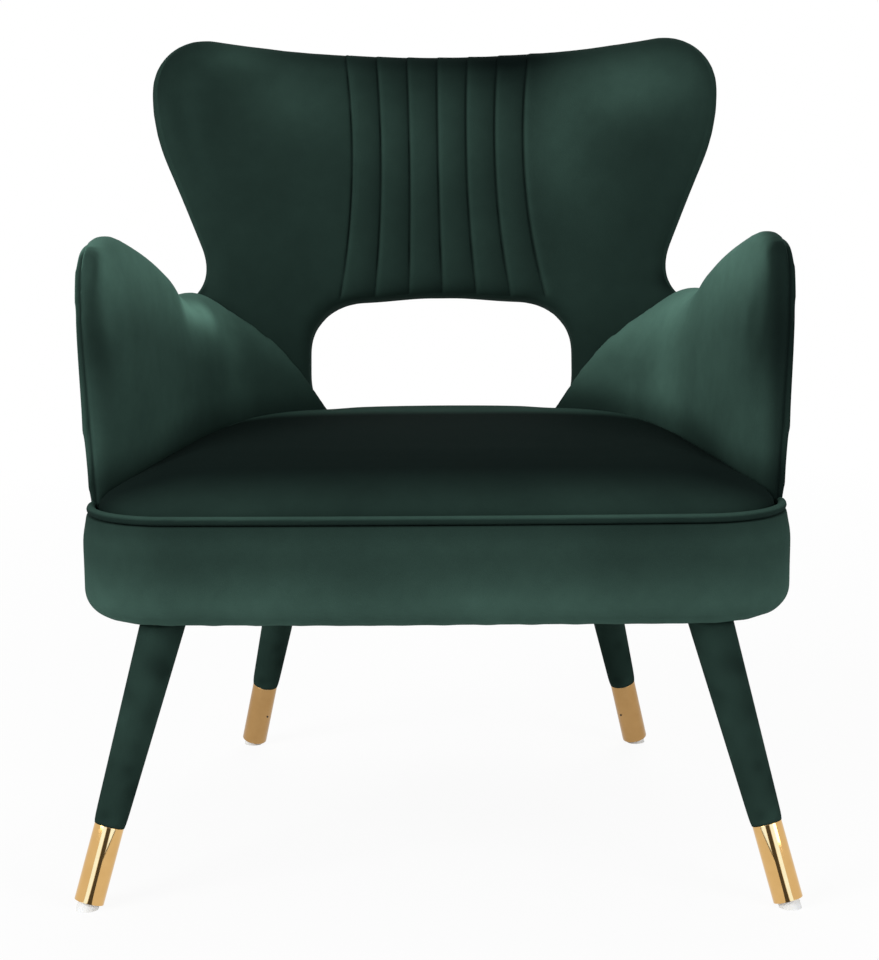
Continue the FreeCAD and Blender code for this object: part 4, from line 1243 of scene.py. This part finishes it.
def sleeve_blotches(points):
    # Crushed spots that are left in the pile where a leg was held, the same in every run
    chance = np.random.default_rng(BLOTCH_SEED)
    marks = np.zeros(len(points))
    for spot in points[chance.integers(0, len(points), BLOTCH_COUNT)]:
        reach = chance.uniform(5, 13) * MM
        marks += chance.uniform(-0.05, 0.05) * bump(np.linalg.norm(points - spot, axis=1), 0, reach)
    return np.clip(marks, -0.06, 0.08)


def make_sleeve(end, side, hand):
    place, axis = leg_place(end, hand)
    form = spun(sleeve_profile())
    bmesh.ops.transform(form, matrix=place, verts=form.verts)
    sleeve = new_piece("%s_%s_leg_velvet" % (end, side), form)
    foot = np.array(place.translation)
    way = np.array(axis)
    points = points_of(sleeve.data) - foot
    along = points @ way
    radial = points - along[:, None] * way
    share = (along - sleeve_foot) / (LEG_LENGTH - sleeve_foot)
    level = (LEG_TOP - radial[:, 2]) / axis.z
    along = sleeve_foot + share * (level - sleeve_foot)
    points = foot + radial + along[:, None] * way
    set_points(sleeve.data, points)
    dress_in_velvet(sleeve, SLEEVE_NAP + sleeve_blotches(points))
    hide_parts("%s_%s_leg_sleeve" % (end, side))
    return sleeve


legs = [(end, side, hand) for end in LEG_FEET for side, hand in HANDS.items()]
sleeves = [make_sleeve(*leg) for leg in legs]
print("sleeves:", [len(sleeve.data.vertices) for sleeve in sleeves], "points")

# %% [markdown]
# ## Brass ferrules
# Thin drawn tubes of brass with rolled rims. The front ones are polished and mirror the cards
# before them in light and dark stripes; the rear ones are rougher, and their brass is painted
# darker as shade under the chair.

# %% Brass
SMUDGE_SCALE = 60
SMUDGE_SWAY = 0.06


def make_metal(name, dark, light, scale, sway, roughness):
    # Specks change the tone of the metal and sway its polish
    material, tree, shader, place = shaded_material(name)
    specks = noise(tree, place, scale, 4)
    rough = maths(tree, "ADD", maths(tree, "MULTIPLY", specks, sway), roughness)
    tone = mixed(tree, specks, dark, light)
    feed_all(tree, shader, {"Base Color": tone, "Metallic": 1, "Roughness": rough})
    return material


def make_brass(name, dark, light, roughness):
    return make_metal(name, dark, light, SMUDGE_SCALE, SMUDGE_SWAY, roughness)


brass = {
    "front": make_brass("polished_brass", (0.62, 0.37, 0.135, 1), (0.76, 0.48, 0.190, 1), 0.05),
    # The rear brass is rougher, and painted darker as shade under the chair
    "rear": make_brass("dull_shaded_brass", (0.36, 0.205, 0.075, 1), (0.46, 0.275, 0.110, 1), 0.28),
}

# %% Ferrules
RIM_BEVEL = 0.6 * MM


def make_ferrule(end, side, hand):
    place, _ = leg_place(end, hand)
    foot = FERRULE_START
    top = FERRULE_START + FERRULE_LENGTH
    inner = FERRULE_RADIUS - FERRULE_WALL
    form = spun([(inner, foot), (FERRULE_RADIUS, foot), (FERRULE_RADIUS, top), (inner, top)])
    rims = [edge for edge in form.edges
            if abs(edge.verts[0].co.z - edge.verts[1].co.z) < MERGE
            and min(math.hypot(*vert.co[:2]) for vert in edge.verts) > FERRULE_RADIUS - MERGE * 10]
    bmesh.ops.bevel(form, geom=rims, offset=RIM_BEVEL, segments=4, profile=0.5, affect="EDGES",
                    material=-1)
    bmesh.ops.transform(form, matrix=place, verts=form.verts)
    ferrule = new_piece("%s_%s_brass_ferrule" % (end, side), form)
    ferrule.data.materials.append(brass[end])
    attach(ferrule, "root")
    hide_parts("%s_%s_ferrule" % (end, side))
    return ferrule


ferrules = [make_ferrule(*leg) for leg in legs]
print("ferrules:", [len(ferrule.data.vertices) for ferrule in ferrules], "points")

# %% [markdown]
# ## The dust cover
# A dark sheet of nonwoven cloth is stapled under the seat frame and hangs a little slack. It
# is cut from the lower faces of the frame's own sheet.

# %% Dust cover
DUST_SAG = 4 * MM
DUST_DARK = (0.008, 0.008, 0.009, 1)
DUST_LIGHT = (0.030, 0.030, 0.032, 1)
FIBRE_SCALE = 420


def make_dust_cloth():
    material, tree, shader, place = shaded_material("black_nonwoven")
    fibres = noise(tree, place, FIBRE_SCALE, 5)
    tone = mixed(tree, fibres, DUST_DARK, DUST_LIGHT)
    feed_all(tree, shader, {"Base Color": tone, "Roughness": 0.95})
    bumped(tree, shader, fibres, 0.3 * MM, 0.3)
    return material


def make_dust_cover():
    form = frame_copy("dust_cover")
    rest = [face for face in form.faces if face.normal.z > -0.5]
    bmesh.ops.delete(form, geom=rest, context="FACES")
    bmesh.ops.triangulate(form, faces=form.faces)
    bmesh.ops.subdivide_edges(form, edges=form.edges, cuts=2, use_grid_fill=True)
    sheet = new_piece("dust_cover_sheet", form)
    points = points_of(sheet.data)
    middle = (points.max(0) + points.min(0)) / 2
    half = (points.max(0) - points.min(0)) / 2
    away = np.abs((points - middle)[:, :2] / half[:2])
    slack = np.clip(1 - away[:, 0] ** 2, 0, 1) * np.clip(1 - away[:, 1] ** 2, 0, 1)
    points[:, 2] -= DUST_SAG * slack
    set_points(sheet.data, points)
    sheet.data.materials.append(make_dust_cloth())
    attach(sheet, "root")
    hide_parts("dust_cover")
    return sheet


dust_cover = make_dust_cover()
print("dust cover:", len(dust_cover.data.vertices), "points")

# %% [markdown]
# ## Inner pieces and small parts
# The frame's own nodes stay where their shape is right: glides, pins, boards, rails, straps
# and bolts. They get their finishes here, by the material slot that the record gives them.

# %% Finishes of the frame's own nodes
GRAIN_STRETCH = (1, 1, 8)
SPECK_SWAY = 0.2


def make_grained(name, light, dark, scale, roughness):
    material, tree, shader, place = shaded_material(name)
    stretch = tree.nodes.new("ShaderNodeMapping")
    feed_all(tree, stretch, {"Vector": place, "Scale": GRAIN_STRETCH})
    grain = noise(tree, stretch.outputs["Vector"], scale, 6)
    tone = mixed(tree, grain, dark, light)
    feed_all(tree, shader, {"Base Color": tone, "Roughness": roughness})
    bumped(tree, shader, grain, 0.3 * MM, 0.25)
    return material


ZINC = ((0.46, 0.46, 0.48, 1), (0.62, 0.62, 0.64, 1))
DARK_PIN = ((0.05, 0.04, 0.03, 1), (0.10, 0.08, 0.06, 1))
finishes = {
    "frame_wood": make_grained("frame_wood", (0.56, 0.40, 0.24, 1), (0.34, 0.22, 0.12, 1), 14, 0.7),
    "turned_wood": make_grained("turned_wood", (0.50, 0.34, 0.20, 1), (0.32, 0.20, 0.11, 1), 22, 0.6),
    "webbing": make_grained("elastic_webbing", (0.10, 0.09, 0.08, 1), (0.03, 0.03, 0.03, 1), 300, 0.9),
    "foam": make_grained("foam", (0.80, 0.74, 0.55, 1), (0.66, 0.60, 0.42, 1), 240, 0.95),
    "glide_nylon": make_grained("white_nylon", (0.82, 0.82, 0.80, 1), (0.78, 0.78, 0.76, 1), 90, 0.75),
    "steel": make_metal("zinc_steel", *ZINC, 200, SPECK_SWAY, 0.25),
    "dark_pin": make_metal("dark_pin", *DARK_PIN, 300, SPECK_SWAY, 0.4),
}
slot_of = {entry["node"]: entry["material_slot"] for entry in frame["record"]["subparts"]}
kept = [name for name, node in frame["nodes"].items() if not node.hide_render]
for name in kept:
    if slot_of.get(name) in finishes:
        frame["nodes"][name].data.materials.clear()
        frame["nodes"][name].data.materials.append(finishes[slot_of[name]])
bare = [name for name in kept if slot_of.get(name) not in finishes]
print("kept frame nodes:", len(kept), "without a finish:", bare)
